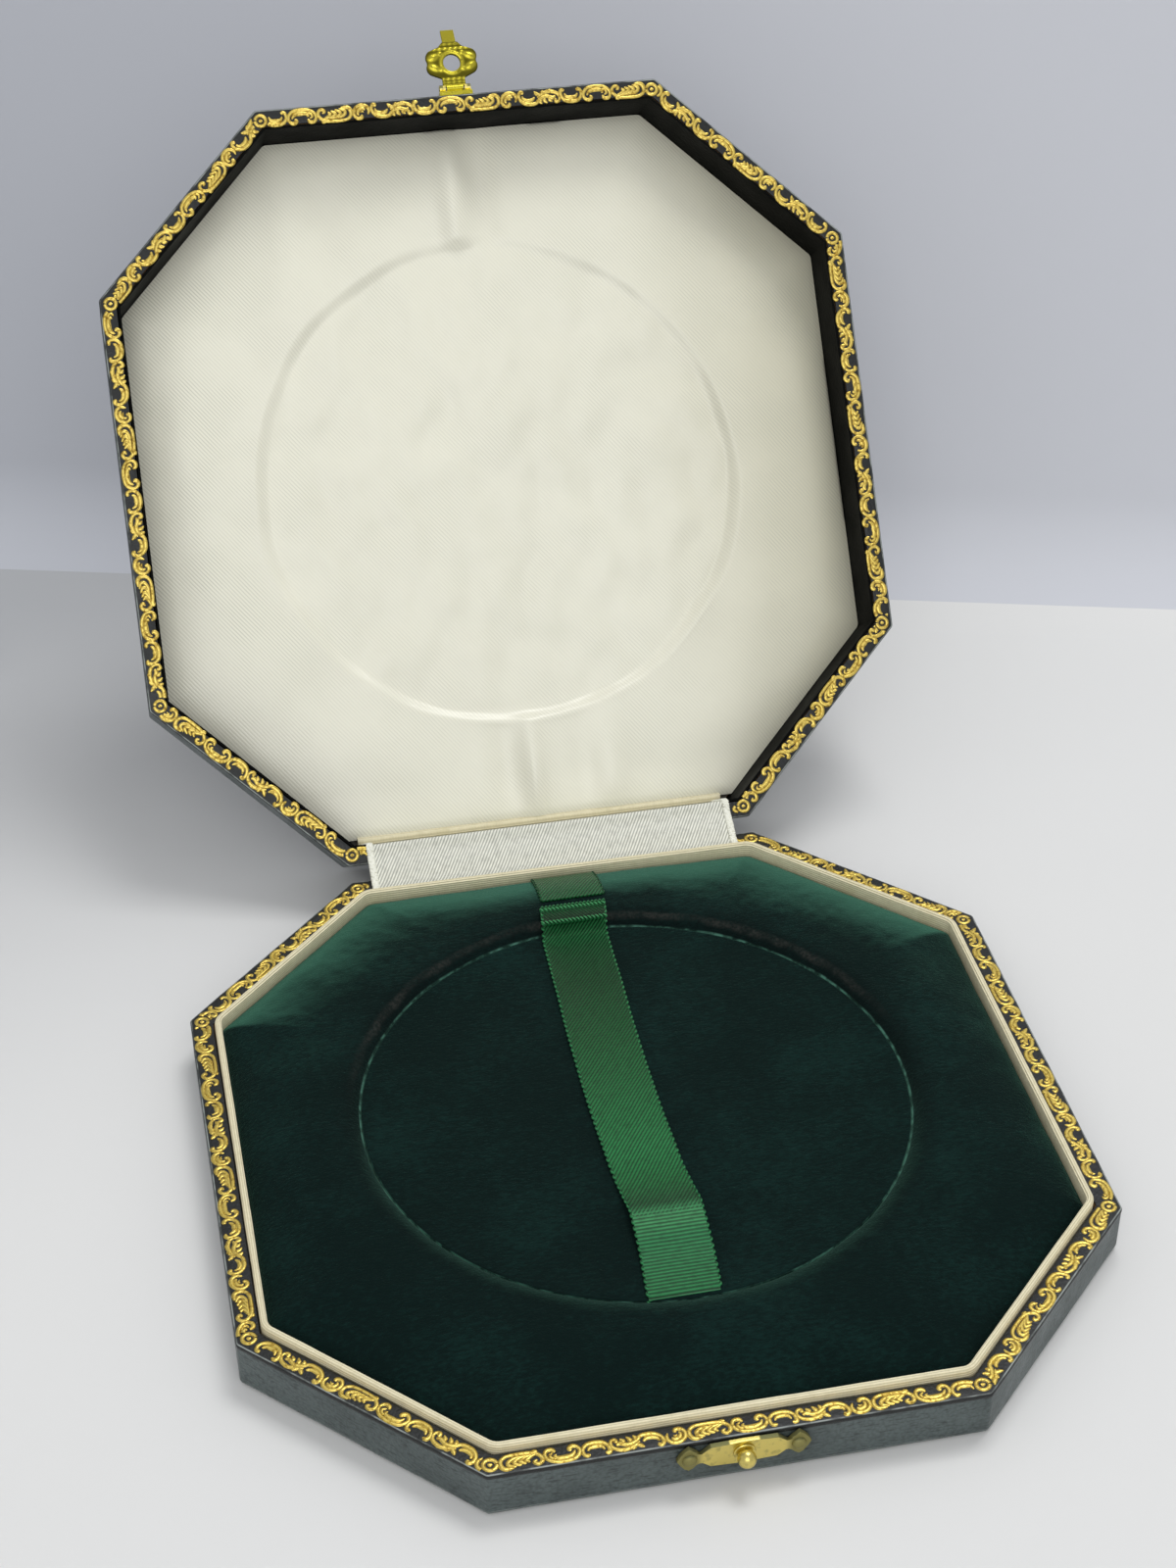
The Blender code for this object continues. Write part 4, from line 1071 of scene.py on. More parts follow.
# One repeat of the gold roll, in millimetres: where each motif starts, and its strokes' stops and widths.
# The comb is a crescent that ends in a curl, over nested crescents; the cup curls in at both ends over
# hatched curls; the arch echoes itself; the leaf opens into an arch of its own; the hook is a small cup.
ROLL = {
    "comb": (0.0, (
        (((1.75, -0.9), (0.65, -0.85), (0.2, -0.3), (0.3, 0.45), (1.1, 1.0), (2.8, 1.1), (4.5, 0.95),
          (5.45, 0.25), (5.5, -0.45), (4.95, -0.82), (4.45, -0.5), (4.85, -0.2)),
         (0.45, 0.55, 0.42, 0.4, 0.45, 0.45, 0.42, 0.36)),
        (((2.9, 0.62), (1.9, 0.5), (1.2, 0.05), (1.25, -0.42), (2.1, -0.78)),
         (0.2, 0.42, 0.46, 0.46, 0.24)),
        (((3.6, 0.62), (2.7, 0.5), (2.0, 0.05), (2.05, -0.292), (2.8, -0.652)),
         (0.2, 0.42, 0.46, 0.46, 0.24)),
        (((4.3, 0.62), (3.5, 0.5), (2.8, 0.05), (2.85, -0.164), (3.45, -0.524)),
         (0.2, 0.42, 0.46, 0.46, 0.24)),
        (((4.8, 0.62), (4.25, 0.5), (3.55, 0.05), (3.6, -0.044), (3.95, -0.404)),
         (0.2, 0.42, 0.46, 0.46, 0.24)),
        (((4.2, 0.8), (4.75, 1.05), (5.1, 1.0)), (0.5, 0.55, 0.3)),
    )),
    "cup": (5.85, (
        (((1.45, 0.45), (1.05, 0.92), (0.4, 0.85), (0.1, 0.3), (0.35, -0.45), (1.3, -0.95), (2.6, -1.05),
          (3.9, -0.8), (4.55, 0.0), (4.4, 0.7), (3.8, 1.0), (3.3, 0.65), (3.55, 0.3)),
         (0.45, 0.5, 0.38, 0.42, 0.45, 0.45, 0.4, 0.55, 0.4)),
        (((1.1, 0.4), (0.7, 0.1), (0.85, -0.3), (1.4, -0.55)), (0.2, 0.34, 0.34, 0.2)),
        (((1.55, 0.1), (1.3, -0.12), (1.7, -0.42), (2.7, -0.5), (3.6, -0.25), (4.0, 0.3)),
         (0.2, 0.36, 0.5, 0.6, 0.46, 0.24)),
    )),
    "arch": (10.65, (
        (((0.95, -0.8), (0.3, -0.75), (0.1, 0.05), (0.7, 0.8), (1.85, 1.0), (2.95, 0.75), (3.5, 0.0),
          (3.5, -0.75), (2.9, -0.85)), (0.55, 0.42, 0.42, 0.5, 0.5, 0.42, 0.5, 0.5)),
        (((0.75, -0.2), (1.1, 0.25), (1.85, 0.42), (2.6, 0.25), (2.95, -0.35)),
         (0.22, 0.45, 0.6, 0.45, 0.22)),
    )),
    "leaf": (14.45, (
        (((0.75, 0.3), (0.6, 0.85), (0.12, 0.7), (0.0, 0.1), (0.45, -0.5), (1.5, -0.8), (2.7, -0.6),
          (3.7, 0.0)), (0.5, 0.45, 0.36, 0.42, 0.5, 0.5, 0.36)),
        (((0.65, -0.05), (1.2, 0.2), (2.1, -0.1), (3.0, 0.1), (3.9, 0.7)), (0.3, 0.55, 0.5, 0.5, 0.4)),
        (((1.7, 0.2), (1.595, 0.525), (1.25, 0.85)), (0.42, 0.52, 0.2)),
        (((2.6, 0.2), (2.47, 0.6), (2.1, 1.0)), (0.42, 0.52, 0.2)),
        (((3.2, 0.4), (3.22, 0.725), (3.0, 1.05)), (0.42, 0.52, 0.2)),
        (((2.4, -0.5), (1.97, -0.8), (1.3, -1.1)), (0.42, 0.52, 0.2)),
        (((2.9, -0.3), (2.87, -0.675), (2.6, -1.05)), (0.42, 0.52, 0.2)),
        (((3.1, -0.2), (3.745, -0.575), (4.15, -0.95)), (0.42, 0.52, 0.2)),
        (((3.5, 0.6), (4.3, 0.95), (5.6, 0.9), (6.5, 0.3), (6.75, -0.5), (6.35, -1.0), (5.95, -0.7)),
         (0.42, 0.5, 0.5, 0.42, 0.5, 0.5)),
        (((4.15, -0.1), (4.6, 0.32), (5.4, 0.4), (6.0, 0.1), (6.2, -0.4)), (0.26, 0.5, 0.56, 0.4, 0.2)),
    )),
    "hook": (21.55, (
        (((0.3, 0.5), (0.1, -0.2), (0.5, -0.85), (1.5, -1.0), (2.35, -0.5), (2.55, 0.35), (2.1, 0.95),
          (1.4, 0.9), (1.35, 0.45)), (0.3, 0.45, 0.5, 0.45, 0.4, 0.5, 0.45)),
        (((0.7, -0.25), (1.1, -0.48), (1.75, -0.25), (1.95, 0.25), (1.75, 0.5)),
         (0.26, 0.5, 0.48, 0.36, 0.2)),
        (((0.95, 0.1), (1.25, -0.05), (1.5, 0.12)), (0.16, 0.24, 0.16)),
    )),
}


@dataclass
class GiltBorder:
    """The scrolled roll tooled in gold round a rim; its motifs follow one another along a repeat."""

    stock: Stock
    middle_inset: float = 1.65 * MM
    bend: float = 2.2 * MM
    boldness: float = 1.42
    tallness: float = 1.08
    repeats: int = 17
    pattern_length: float = 24.4
    cup_middle: float = 8.2
    cup_offset: float = 1.3 * MM
    dome: float = 0.12 * MM
    sunk: float = 0.03 * MM
    ribbon_clear: float = REBATE_HALF + 0.05 * MM
    rosette_radius: float = 0.88 * MM
    rosette_width: float = 0.62 * MM
    rosette_room: float = 1.3 * MM
    steps: int = 5
    strokes: list[Stroke] = field(default_factory=list)

    def draw(self, at: float, stops: tuple, widths: tuple) -> None:
        """Add a stroke that runs smoothly through a few stops.

        Args:
            at: Where the stops' zero lies along the repeat, in millimetres.
            stops: Places along and across the border; a positive one across lies towards the case's middle.
            widths: The stroke's width at even shares of its length.
        """
        spots = np.array(stops, dtype=float)
        padded = np.vstack([2 * spots[0] - spots[1], spots, 2 * spots[-1] - spots[-2]])
        made = []
        for index in range(len(spots) - 1):
            before, start, end, after = padded[index:index + 4]
            for share in np.arange(self.steps) / self.steps:
                made.append(0.5 * (2 * start + (end - before) * share
                                   + (2 * before - 5 * start + 4 * end - after) * share ** 2
                                   + (3 * start - before - 3 * end + after) * share ** 3))
        points = np.array(made + [spots[-1]]) + (at, 0.0)
        spread = np.linspace(0, 1, len(points))
        wide = np.interp(spread, np.linspace(0, 1, len(widths)), widths)
        tip = np.minimum(np.minimum(spread, 1 - spread) / 0.05, 1)
        points[:, 1] *= self.tallness
        self.strokes.append(Stroke(points, wide * self.boldness * np.sqrt(0.2 + 0.8 * tip)))

    def draw_repeat(self) -> None:
        """Draw one repeat of the roll, motif after motif."""
        for start, strokes in ROLL.values():
            for stops, widths in strokes:
                self.draw(start, stops, widths)

    def path(self) -> tuple[Points, Points, Points]:
        """Trace the border's middle line.

        Returns:
            How far round each point lies, the points and the directions towards the middle of the case.
        """
        fine = Octagon(corner_steps=12)
        plan, _ = fine.ring(self.middle_inset, self.bend)
        closed = np.vstack([plan, plan[:1]])
        round_so_far = run_along(closed)
        before, after = np.roll(plan, 1, axis=0), np.roll(plan, -1, axis=0)
        forward = after - before
        forward /= np.linalg.norm(forward, axis=1)[:, None]
        inward = np.column_stack([-forward[:, 1], forward[:, 0]])
        return round_so_far, closed, np.vstack([inward, inward[:1]])

    def laid(self, stroke: Stroke, start: float, unit: float, path: tuple) -> tuple[Points, Points]:
        """Lay a stroke on the rim.

        Args:
            stroke: The stroke, in millimetres on the flat pattern.
            start: Where its repeat starts on the path.
            unit: Metres to one millimetre of the pattern along the path.
            path: The border's middle line.

        Returns:
            Plan points x 2 and widths in metres, cut off where the hinge ribbon lies.
        """
        round_so_far, line, inward = path
        place = (start + stroke.points[:, 0] * unit) % round_so_far[-1]
        plan = line_at(place, round_so_far, line)
        normal = line_at(place, round_so_far, inward)
        normal /= np.linalg.norm(normal, axis=1)[:, None]
        plan = plan + normal * (stroke.points[:, 1] * MM)[:, None]
        bare = (plan[:, 1] < HALF - 5 * MM) | (np.abs(plan[:, 0]) > self.ribbon_clear)
        for corner in self.corners():
            bare &= np.linalg.norm(plan - corner, axis=1) > self.rosette_room
        runs = np.split(np.arange(len(plan)), np.flatnonzero(~bare))
        kept = max(([index for index in run if bare[index]] for run in runs), key=len)
        return plan[kept], stroke.widths[kept] * MM

    def corners(self) -> list[Points]:
        """Return the places of the eight rosettes, on the bends of the middle line."""
        side = MAIN_SIDE / 2 - self.middle_inset * math.tan(EIGHTH / 2)
        place = np.array((HALF - self.middle_inset, side))
        inwards = np.array((math.cos(EIGHTH / 2), math.sin(EIGHTH / 2)))
        place = place - inwards * self.bend * (1 / math.cos(EIGHTH / 2) - 1)
        spots = [place * turn for turn in ((1, 1), (-1, 1), (-1, -1), (1, -1))]
        return spots + [spot[::-1] for spot in spots]

    def rosette(self, corner: Points) -> list[tuple[Points, Points]]:
        """Draw a corner's oval ring with a pellet in it.

        Args:
            corner: Its place.

        Returns:
            Plan points and widths of its two strokes.
        """
        turns = np.linspace(0, 2 * math.pi * 0.97, 19)
        circle = np.column_stack([np.cos(turns), np.sin(turns)])
        ring = corner + circle * self.rosette_radius
        pellet = corner + np.column_stack([np.linspace(-1, 1, 5), np.zeros(5)]) * 0.3 * MM
        return [(ring, np.full(19, self.rosette_width)), (pellet, np.array((0.3, 0.6, 0.66, 0.6, 0.3)) * MM)]

    def build_rim(self, name: str) -> Piece:
        """Tool one rim, on the base's top, with a wide cup at the middle of the front.

        Args:
            name: The piece's name.

        Returns:
            The gold, as one piece.
        """
        path = self.path()
        length = path[0][-1] / self.repeats
        unit = length / self.pattern_length
        front = np.linalg.norm(path[1] - (0.0, -HALF), axis=1).argmin()
        start = path[0][front] + self.cup_offset - self.cup_middle * unit
        profile = ((-1.0, -self.sunk), (-1.0, 0.0), (-0.6, 0.75 * self.dome), (0.0, self.dome),
                   (0.6, 0.75 * self.dome), (1.0, 0.0), (1.0, -self.sunk))
        laid = [self.laid(stroke, start + length * repeat, unit, path)
                for repeat in range(self.repeats) for stroke in self.strokes]
        laid += [line for corner in self.corners() for line in self.rosette(corner)]
        maker = Maker()
        for plan, widths in laid:
            if len(plan) < 3:
                continue
            forward = directions(plan)
            aside = np.column_stack([-forward[:, 1], forward[:, 0]])
            run = run_along(plan)
            rows, places = [], []
            for across, height in profile:
                edge = plan + aside * (widths * across / 2)[:, None]
                rows.append(np.column_stack([edge, np.full(len(edge), BASE_RIM + height)]))
                places.append(np.column_stack([widths * across / 2, run]))
            places.append(places[0])
            rows, places = (np.array(part).transpose(1, 0, 2) for part in (rows, places))
            maker.grid(rows, places, ring=True, caps=True)
        return maker.build(name, self.stock["gilt"], 60)

    def build(self) -> None:
        """Tool both rims with the same roll."""
        self.draw_repeat()
        settle(self.build_rim("base_gilding"), "base")
        lid = self.build_rim("lid_gilding")
        lid.data.transform(Matrix.Translation((0, 0, BASE_RIM + LID_RIM)) @ Matrix.Rotation(math.pi, 4, "Y"))
        settle(lid, "lid", (), LID_OPEN)


@dataclass
class Collar:
    """The cream silk strip that stands proud of the base's rim, with its ribs running round the case."""

    stock: Stock
    outer: float = 3.6 * MM
    thickness: float = 1.0 * MM
    top: float = BASE_RIM + 1.2 * MM
    low: float = 2.8 * MM
    corner_round: float = 3.0 * MM
    rib_pitch: float = 0.42 * MM
    rib_height: float = 0.035 * MM

    def build(self) -> None:
        """Make the strip."""
        inner = self.outer + self.thickness
        radius = self.thickness / 2
        outline = [(self.outer, self.low), (self.outer, BASE_RIM - 0.3 * MM)]
        outline += [(self.outer, z) for z in np.linspace(BASE_RIM - 0.2 * MM, self.top - radius, 8)]
        outline += arc((self.outer + radius, self.top - radius), radius, 180, 0, 24)[1:]
        fall = self.top - radius - self.low
        steps = int(fall / self.rib_pitch) * 4
        outline += [(inner, self.top - radius - fall * step / steps) for step in range(1, steps + 1)]
        section, travelled = [], 0.0
        for index, (inset, height) in enumerate(outline):
            travelled += math.dist(outline[max(index - 1, 0)], (inset, height))
            rib = self.rib_height * math.sin(2 * math.pi * travelled / self.rib_pitch)
            section.append((inset + rib * (inset > self.outer + radius),
                            height + 0.5 * rib * (height > BASE_RIM)))
        roundings = [self.corner_round - (inset - self.outer) for inset, _ in section]
        maker = Maker().grid(*PLAN.sweep(section, roundings, True), ring=True, tube=True)
        made = maker.build("collar_silk", self.stock["cream_silk"], 60)
        ruffle(made, 0.05 * MM, 5 * MM, 3.0)
        settle(made, "base", ("collar",))


@dataclass
class VelvetWork:
    """The padded velvet with its rolled shoulder, and the recess's floor."""

    stock: Stock
    outer: float = 4.75 * MM
    corner_round: float = 1.6 * MM
    crest: float = BASE_RIM + 2.8 * MM
    edge: float = BASE_RIM - 1.3 * MM
    floor_top: float = BASE_RIM + 1.25 * MM
    floor_thick: float = 0.65 * MM
    floor_round: float = 0.3 * MM
    gap: float = 0.06 * MM
    shoulder: float = 4.84 * MM
    bottom: float = 5.0 * MM

    def pad(self) -> Piece:
        """Shape the pad from the recess's edge out to the collar.

        Returns:
            The pad.
        """
        plan, _ = Octagon(side_steps=48).ring(self.outer, self.corner_round)
        inner = RECESS_RADIUS + self.gap
        low = self.floor_top - self.floor_round
        rays = plan - RECESS_CENTRE
        reach = np.linalg.norm(rays, axis=1)
        rays = rays / reach[:, None]
        rows = []
        for out in np.linspace(0, 1, 15):
            radius = inner + self.shoulder * out
            height = low + (self.crest - low) * (1 - (1 - out) ** 4)
            rows.append((np.full(len(reach), radius), height))
        brow = inner + self.shoulder
        for share in np.linspace(0, 1, 25)[1:]:
            down = 0.82 * share ** 2.2 + 0.18 * share ** 14
            rows.append((brow + (reach - brow) * share, self.crest + (self.edge - self.crest) * down))
        rows.append((reach, self.bottom))
        rows.append((np.full(len(reach), inner), self.bottom))
        points = [np.column_stack([RECESS_CENTRE + rays * radius[:, None], np.full(len(radius), height)])
                  for radius, height in rows]
        maker = Maker().grid(np.array(points), ring=True, tube=True)
        made = maker.build("velvet_pad_pile", self.stock["velvet"], 60)
        ruffle(made, 0.12 * MM, 9 * MM, 8.0)
        ruffle(made, 0.05 * MM, 1.6 * MM, 21.0)
        return made

    def floor(self) -> Piece:
        """Shape the recess's floor.

        Returns:
            The floor.
        """
        turns = full_turn(288)
        rays = np.column_stack([np.cos(turns), np.sin(turns)])
        section = [(RECESS_RADIUS - 2 * MM, self.floor_top - self.floor_thick)]
        section += [(RECESS_RADIUS, self.floor_top - self.floor_thick)]
        section += [(RECESS_RADIUS - self.floor_round + x, self.floor_top - self.floor_round + z)
                    for x, z in arc((0, 0), self.floor_round, 0, 90, 5)]
        section += [(RECESS_RADIUS * share, self.floor_top) for share in np.linspace(0.985, 0.02, 40)]
        points = [np.column_stack([RECESS_CENTRE + rays * radius, np.full(len(rays), height)])
                  for radius, height in section]
        maker = Maker().grid(np.array(points), ring=True, caps=True)
        made = maker.build("recess_floor_pile", self.stock["velvet"], 60)
        ruffle(made, 0.06 * MM, 10 * MM, 5.0)
        return made

    def build(self) -> None:
        """Make the pad and the floor."""
        pad = settle(self.pad(), "base", ("velvet_pad",))
        settle(self.floor(), "base", ("recess_floor",))


def strip_rows(path: Points, across: Points, thickness: float) -> Points:
    """Give a strip that follows a path in the YZ plane its two faces.

    Args:
        path: Points x 2 as (y, z), for each place along the strip.
        across: Offsets along X, one for each column.
        thickness: The strip's thickness.

    Returns:
        Rows x columns x 3, where the columns run over the top face and back under the bottom one.
    """
    forward = directions(path)
    up = np.column_stack([-forward[:, 1], forward[:, 0]])
    top, low = path + up * thickness / 2, path - up * thickness / 2
    faces = []
    for line, offsets in ((top, across), (low, across[::-1])):
        shape = np.zeros((len(path), len(across), 3))
        shape[..., 0] = offsets[None, :]
        shape[..., 1:] = line[:, None, :]
        faces.append(shape)
    return np.concatenate(faces, axis=1)


def smooth_path(points: list[tuple[float, float]], spacing: float, soften: int = 2) -> Points:
    """Even out a path and round its corners.

    Args:
        points: Its corners.
        spacing: Distance between the new points.
        soften: How many times neighbours are averaged.

    Returns:
        Points x 2.
    """
    line = np.array(points)
    run = run_along(line)
    places = np.linspace(0, run[-1], max(int(run[-1] / spacing), 8) + 1)
    made = line_at(places, run, line)
    for _ in range(soften):
        made[1:-1] = (made[:-2] + 2 * made[1:-1] + made[2:]) / 4
    return made


@dataclass
class LiftRibbon:
    """The green ribbon over the recess that lifts the medal, and the short fixed one behind it."""

    stock: Stock
    width: float = 10.0 * MM
    thickness: float = 0.25 * MM
    lift: float = 0.2 * MM
    bend: float = 0.5 * MM
    tail: float = 0.6 * MM
    hem: float = 4.2 * MM
    fold_back: float = 1.3 * MM
    picot_pitch: float = 1.15 * MM
    picot_out: float = 0.28 * MM
    picot_radius: float = 0.16 * MM
    loop_pitch: float = 0.62 * MM
    # Places along the cloth's painted bands that the tab and the cross loops take their tone from.
    tab_map: float = 91.0 * MM
    bright_place: float = 14.2 * MM
    tab_back: float = 0.5 * MM
    loop_half: float = 0.42 * MM
    loop_rise: float = 0.14 * MM
    loop_slant: float = 0.28 * MM
    thread: float = 0.13 * MM
    # Where along the cloth the edge loops take their painted tone from.
    loops_tone: float = 12.5 * MM
    # Where the ribbon lies along Y and how far it is off the floor, in millimetres.
    waves: tuple = ((-30.0, 0.25), (-26.5, 0.95), (-23.0, 1.3), (-19.5, 0.6), (-15.0, 0.1), (-9.0, 0.35),
                    (-4.0, 0.1), (2.0, 0.3), (8.0, 0.05), (14.0, 0.3), (20.0, 0.1), (26.0, 0.35),
                    (33.0, 0.05))
    # Where it lies along Y and how far it strays from the middle, in millimetres.
    aside_places: tuple = ((-39.0, -2.1), (-30.0, -1.3), (-22.0, -1.1), (-12.0, -1.8), (1.0, -2.1),
                           (15.0, -2.0), (28.0, -1.6), (39.0, -1.3), (46.0, -0.4))

    def aside(self, y: Points) -> Points:
        """Return how far left of the middle the ribbon lies at each place along Y."""
        places = np.array(self.aside_places) * MM
        return np.interp(y, places[:, 0], places[:, 1])

    def path(self, velvet: VelvetWork) -> Points:
        """Trace the ribbon's middle from its tail over the floor to its doubled end.

        Args:
            velvet: What it lies on.

        Returns:
            Points x 2 as (y, z).
        """
        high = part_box("lift_ribbon")[1]
        level = RIBBON_LIFT.place.z
        start = RIBBON_LIFT.place.y
        fold_y = high.y - self.thickness - self.fold_back
        fold_z = high.z - 2.5 * self.thickness
        inner = RECESS_RADIUS + velvet.gap
        foot = RECESS_CENTRE[1] + inner - 1.3 * MM
        points = [(start, level - self.bend - self.tail)]
        points += arc((start + self.bend, level - self.bend), self.bend, 180, 90, 6)
        points += [(y * MM, level + z * MM) for y, z in self.waves]
        points += [(foot, level)]
        points += [(foot + 1.6 * MM, level + 0.9 * MM), (foot + 3.0 * MM, fold_z - 0.15 * MM),
                   (fold_y, fold_z)]
        line = smooth_path(points, 0.35 * MM, 6)
        fold = arc((fold_y, fold_z + self.thickness * 1.1), self.thickness * 1.1, -90, 90, 6)[1:]
        back = [(fold_y - self.hem * share, fold_z + self.thickness * 2.2)
                for share in np.linspace(0.1, 1, 8)]
        return np.vstack([line, fold, back])

    def strip(self, name: str, path: Points, aside: Points, map_start: float = 0.0) -> Piece:
        """Shape a ribbon.

        Args:
            name: The piece's name.
            path: Its middle line as (y, z).
            aside: Its sideways place at each point.
            map_start: Where its map starts along the cloth.

        Returns:
            The ribbon.
        """
        across = np.linspace(-self.width / 2, self.width / 2, 29)
        rows = strip_rows(path, across, self.thickness)
        rows[..., 0] += aside[:, None]
        run = run_along(path)
        columns = np.concatenate([across, across[::-1], across[:1]])
        maps = np.stack(np.meshgrid(columns, run + map_start), axis=-1)
        return Maker().grid(rows, maps, ring=True, caps=True).build(name, self.stock["green_ribbon"], 60)

    def picots(self, name: str, path: Points, aside: Points, tone: float,
               crossed: tuple = ()) -> Piece:
        """Shape the thread loops along both edges of a ribbon, and the rows that cross it.

        Args:
            name: The piece's name.
            path: The ribbon's middle line as (y, z).
            aside: Its sideways place at each point.
            tone: Where along the cloth the loops take their tone from.
            crossed: How far along the ribbon each crossing row lies.

        Returns:
            All the loops, as one piece.
        """
        run = run_along(path)
        maker = Maker()
        for side in (-1, 1):
            for place in np.arange(self.picot_pitch / 2, run[-1], self.picot_pitch):
                centre = [np.interp(place, run, values) for values in (aside, path[:, 0], path[:, 1])]
                centre[0] += side * (self.width / 2 - 0.1 * MM)
                rows = []
                for step in range(9):
                    turn = math.pi * (step / 8 - 0.5)
                    hub = (centre[0] + side * (self.picot_out * math.cos(turn)),
                           centre[1] + 0.36 * MM * math.sin(turn), centre[2])
                    rows.append([(hub[0] + side * self.picot_radius * math.cos(angle) * math.cos(turn),
                                  hub[1] + self.picot_radius * math.cos(angle) * math.sin(turn),
                                  hub[2] + self.picot_radius * math.sin(angle))
                                 for angle in full_turn(6)])
                maker.grid(np.array(rows), self.thread_map(len(rows), tone), ring=True, caps=True)
        for middle in crossed:
            self.cross_loops(maker, path, run, aside, middle)
        return maker.build(name, self.stock["green_ribbon"], 60)

    def thread_map(self, rows: int, tone: float) -> Points:
        """Map a six-sided thread onto a small patch of the cloth, so that it takes one band's painted tone.
        """
        around, down = np.linspace(0, 0.3 * MM, 7), np.linspace(0, 0.4 * MM, rows) + tone
        return np.stack(np.meshgrid(around, down), axis=-1)

    def cross_loops(self, maker: Maker, path: Points, run: Points, aside: Points, middle: float) -> None:
        """Add a row of slanted thread loops across the ribbon, where its woven edge ends.

        Args:
            maker: Gathers the loops.
            path: The ribbon's middle line as (y, z).
            run: How far along it each point lies.
            aside: Its sideways place at each point.
            middle: How far along the ribbon the row lies.
        """
        for place in np.arange(-self.width / 2, self.width / 2, self.loop_pitch):
            line = []
            for share in np.linspace(-1, 1, 7):
                at = middle + self.loop_half * share
                x, y, z = (np.interp(at, run, values) for values in (aside, path[:, 0], path[:, 1]))
                up = self.thickness / 2 + self.loop_rise * (1 - share ** 2)
                line.append((x + place + self.loop_slant * share, y, z + up))
            tube = thread_tube(np.array(line), self.thread, 6)
            maker.grid(tube, self.thread_map(len(tube), self.bright_place), ring=True, caps=True)

    def tab(self, velvet: VelvetWork) -> tuple[Piece, Points]:
        """Shape the fixed ribbon behind the lift ribbon's end.

        Args:
            velvet: What it lies on.

        Returns:
            The tab and its path.
        """
        low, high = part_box("ribbon_tab")
        brow = RECESS_CENTRE[1] + RECESS_RADIUS + velvet.gap + velvet.shoulder
        run = HALF - velvet.outer - brow
        places = np.linspace(low.y, high.y - self.tab_back, 24)
        shares = np.clip((places - brow) / run, 0, 1)
        heights = velvet.crest + (velvet.edge - velvet.crest) * (0.82 * shares ** 2.2 + 0.18 * shares ** 14)
        path = np.column_stack([places, heights + self.lift + self.thickness / 2])
        return self.strip("ribbon_tab_taffeta", path, np.zeros(len(path)), self.tab_map), path

    def build(self, velvet: VelvetWork) -> None:
        """Make the lift ribbon and the tab, with their picots.

        Args:
            velvet: What they lie on.
        """
        path = self.path(velvet)
        aside = self.aside(path[:, 0])
        ribbon = self.strip("lift_ribbon_taffeta", path, aside)
        length = float(run_along(path)[-1])
        rows = (length - self.hem - 0.4 * MM, length - self.hem + 0.7 * MM, length - 0.3 * MM)
        loops = self.picots("lift_ribbon_picots", path, aside, self.loops_tone, rows)
        for piece in (ribbon, loops):
            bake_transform(piece)
            log.info("%s bends from the base to the lift ribbon", piece.name)
        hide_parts("lift_ribbon")
        tab, tab_path = self.tab(velvet)
        tab_loops = self.picots("ribbon_tab_picots", tab_path, np.zeros(len(tab_path)), self.tab_map)
        settle(tab, "base", ("ribbon_tab",))
        settle(tab_loops, "base")


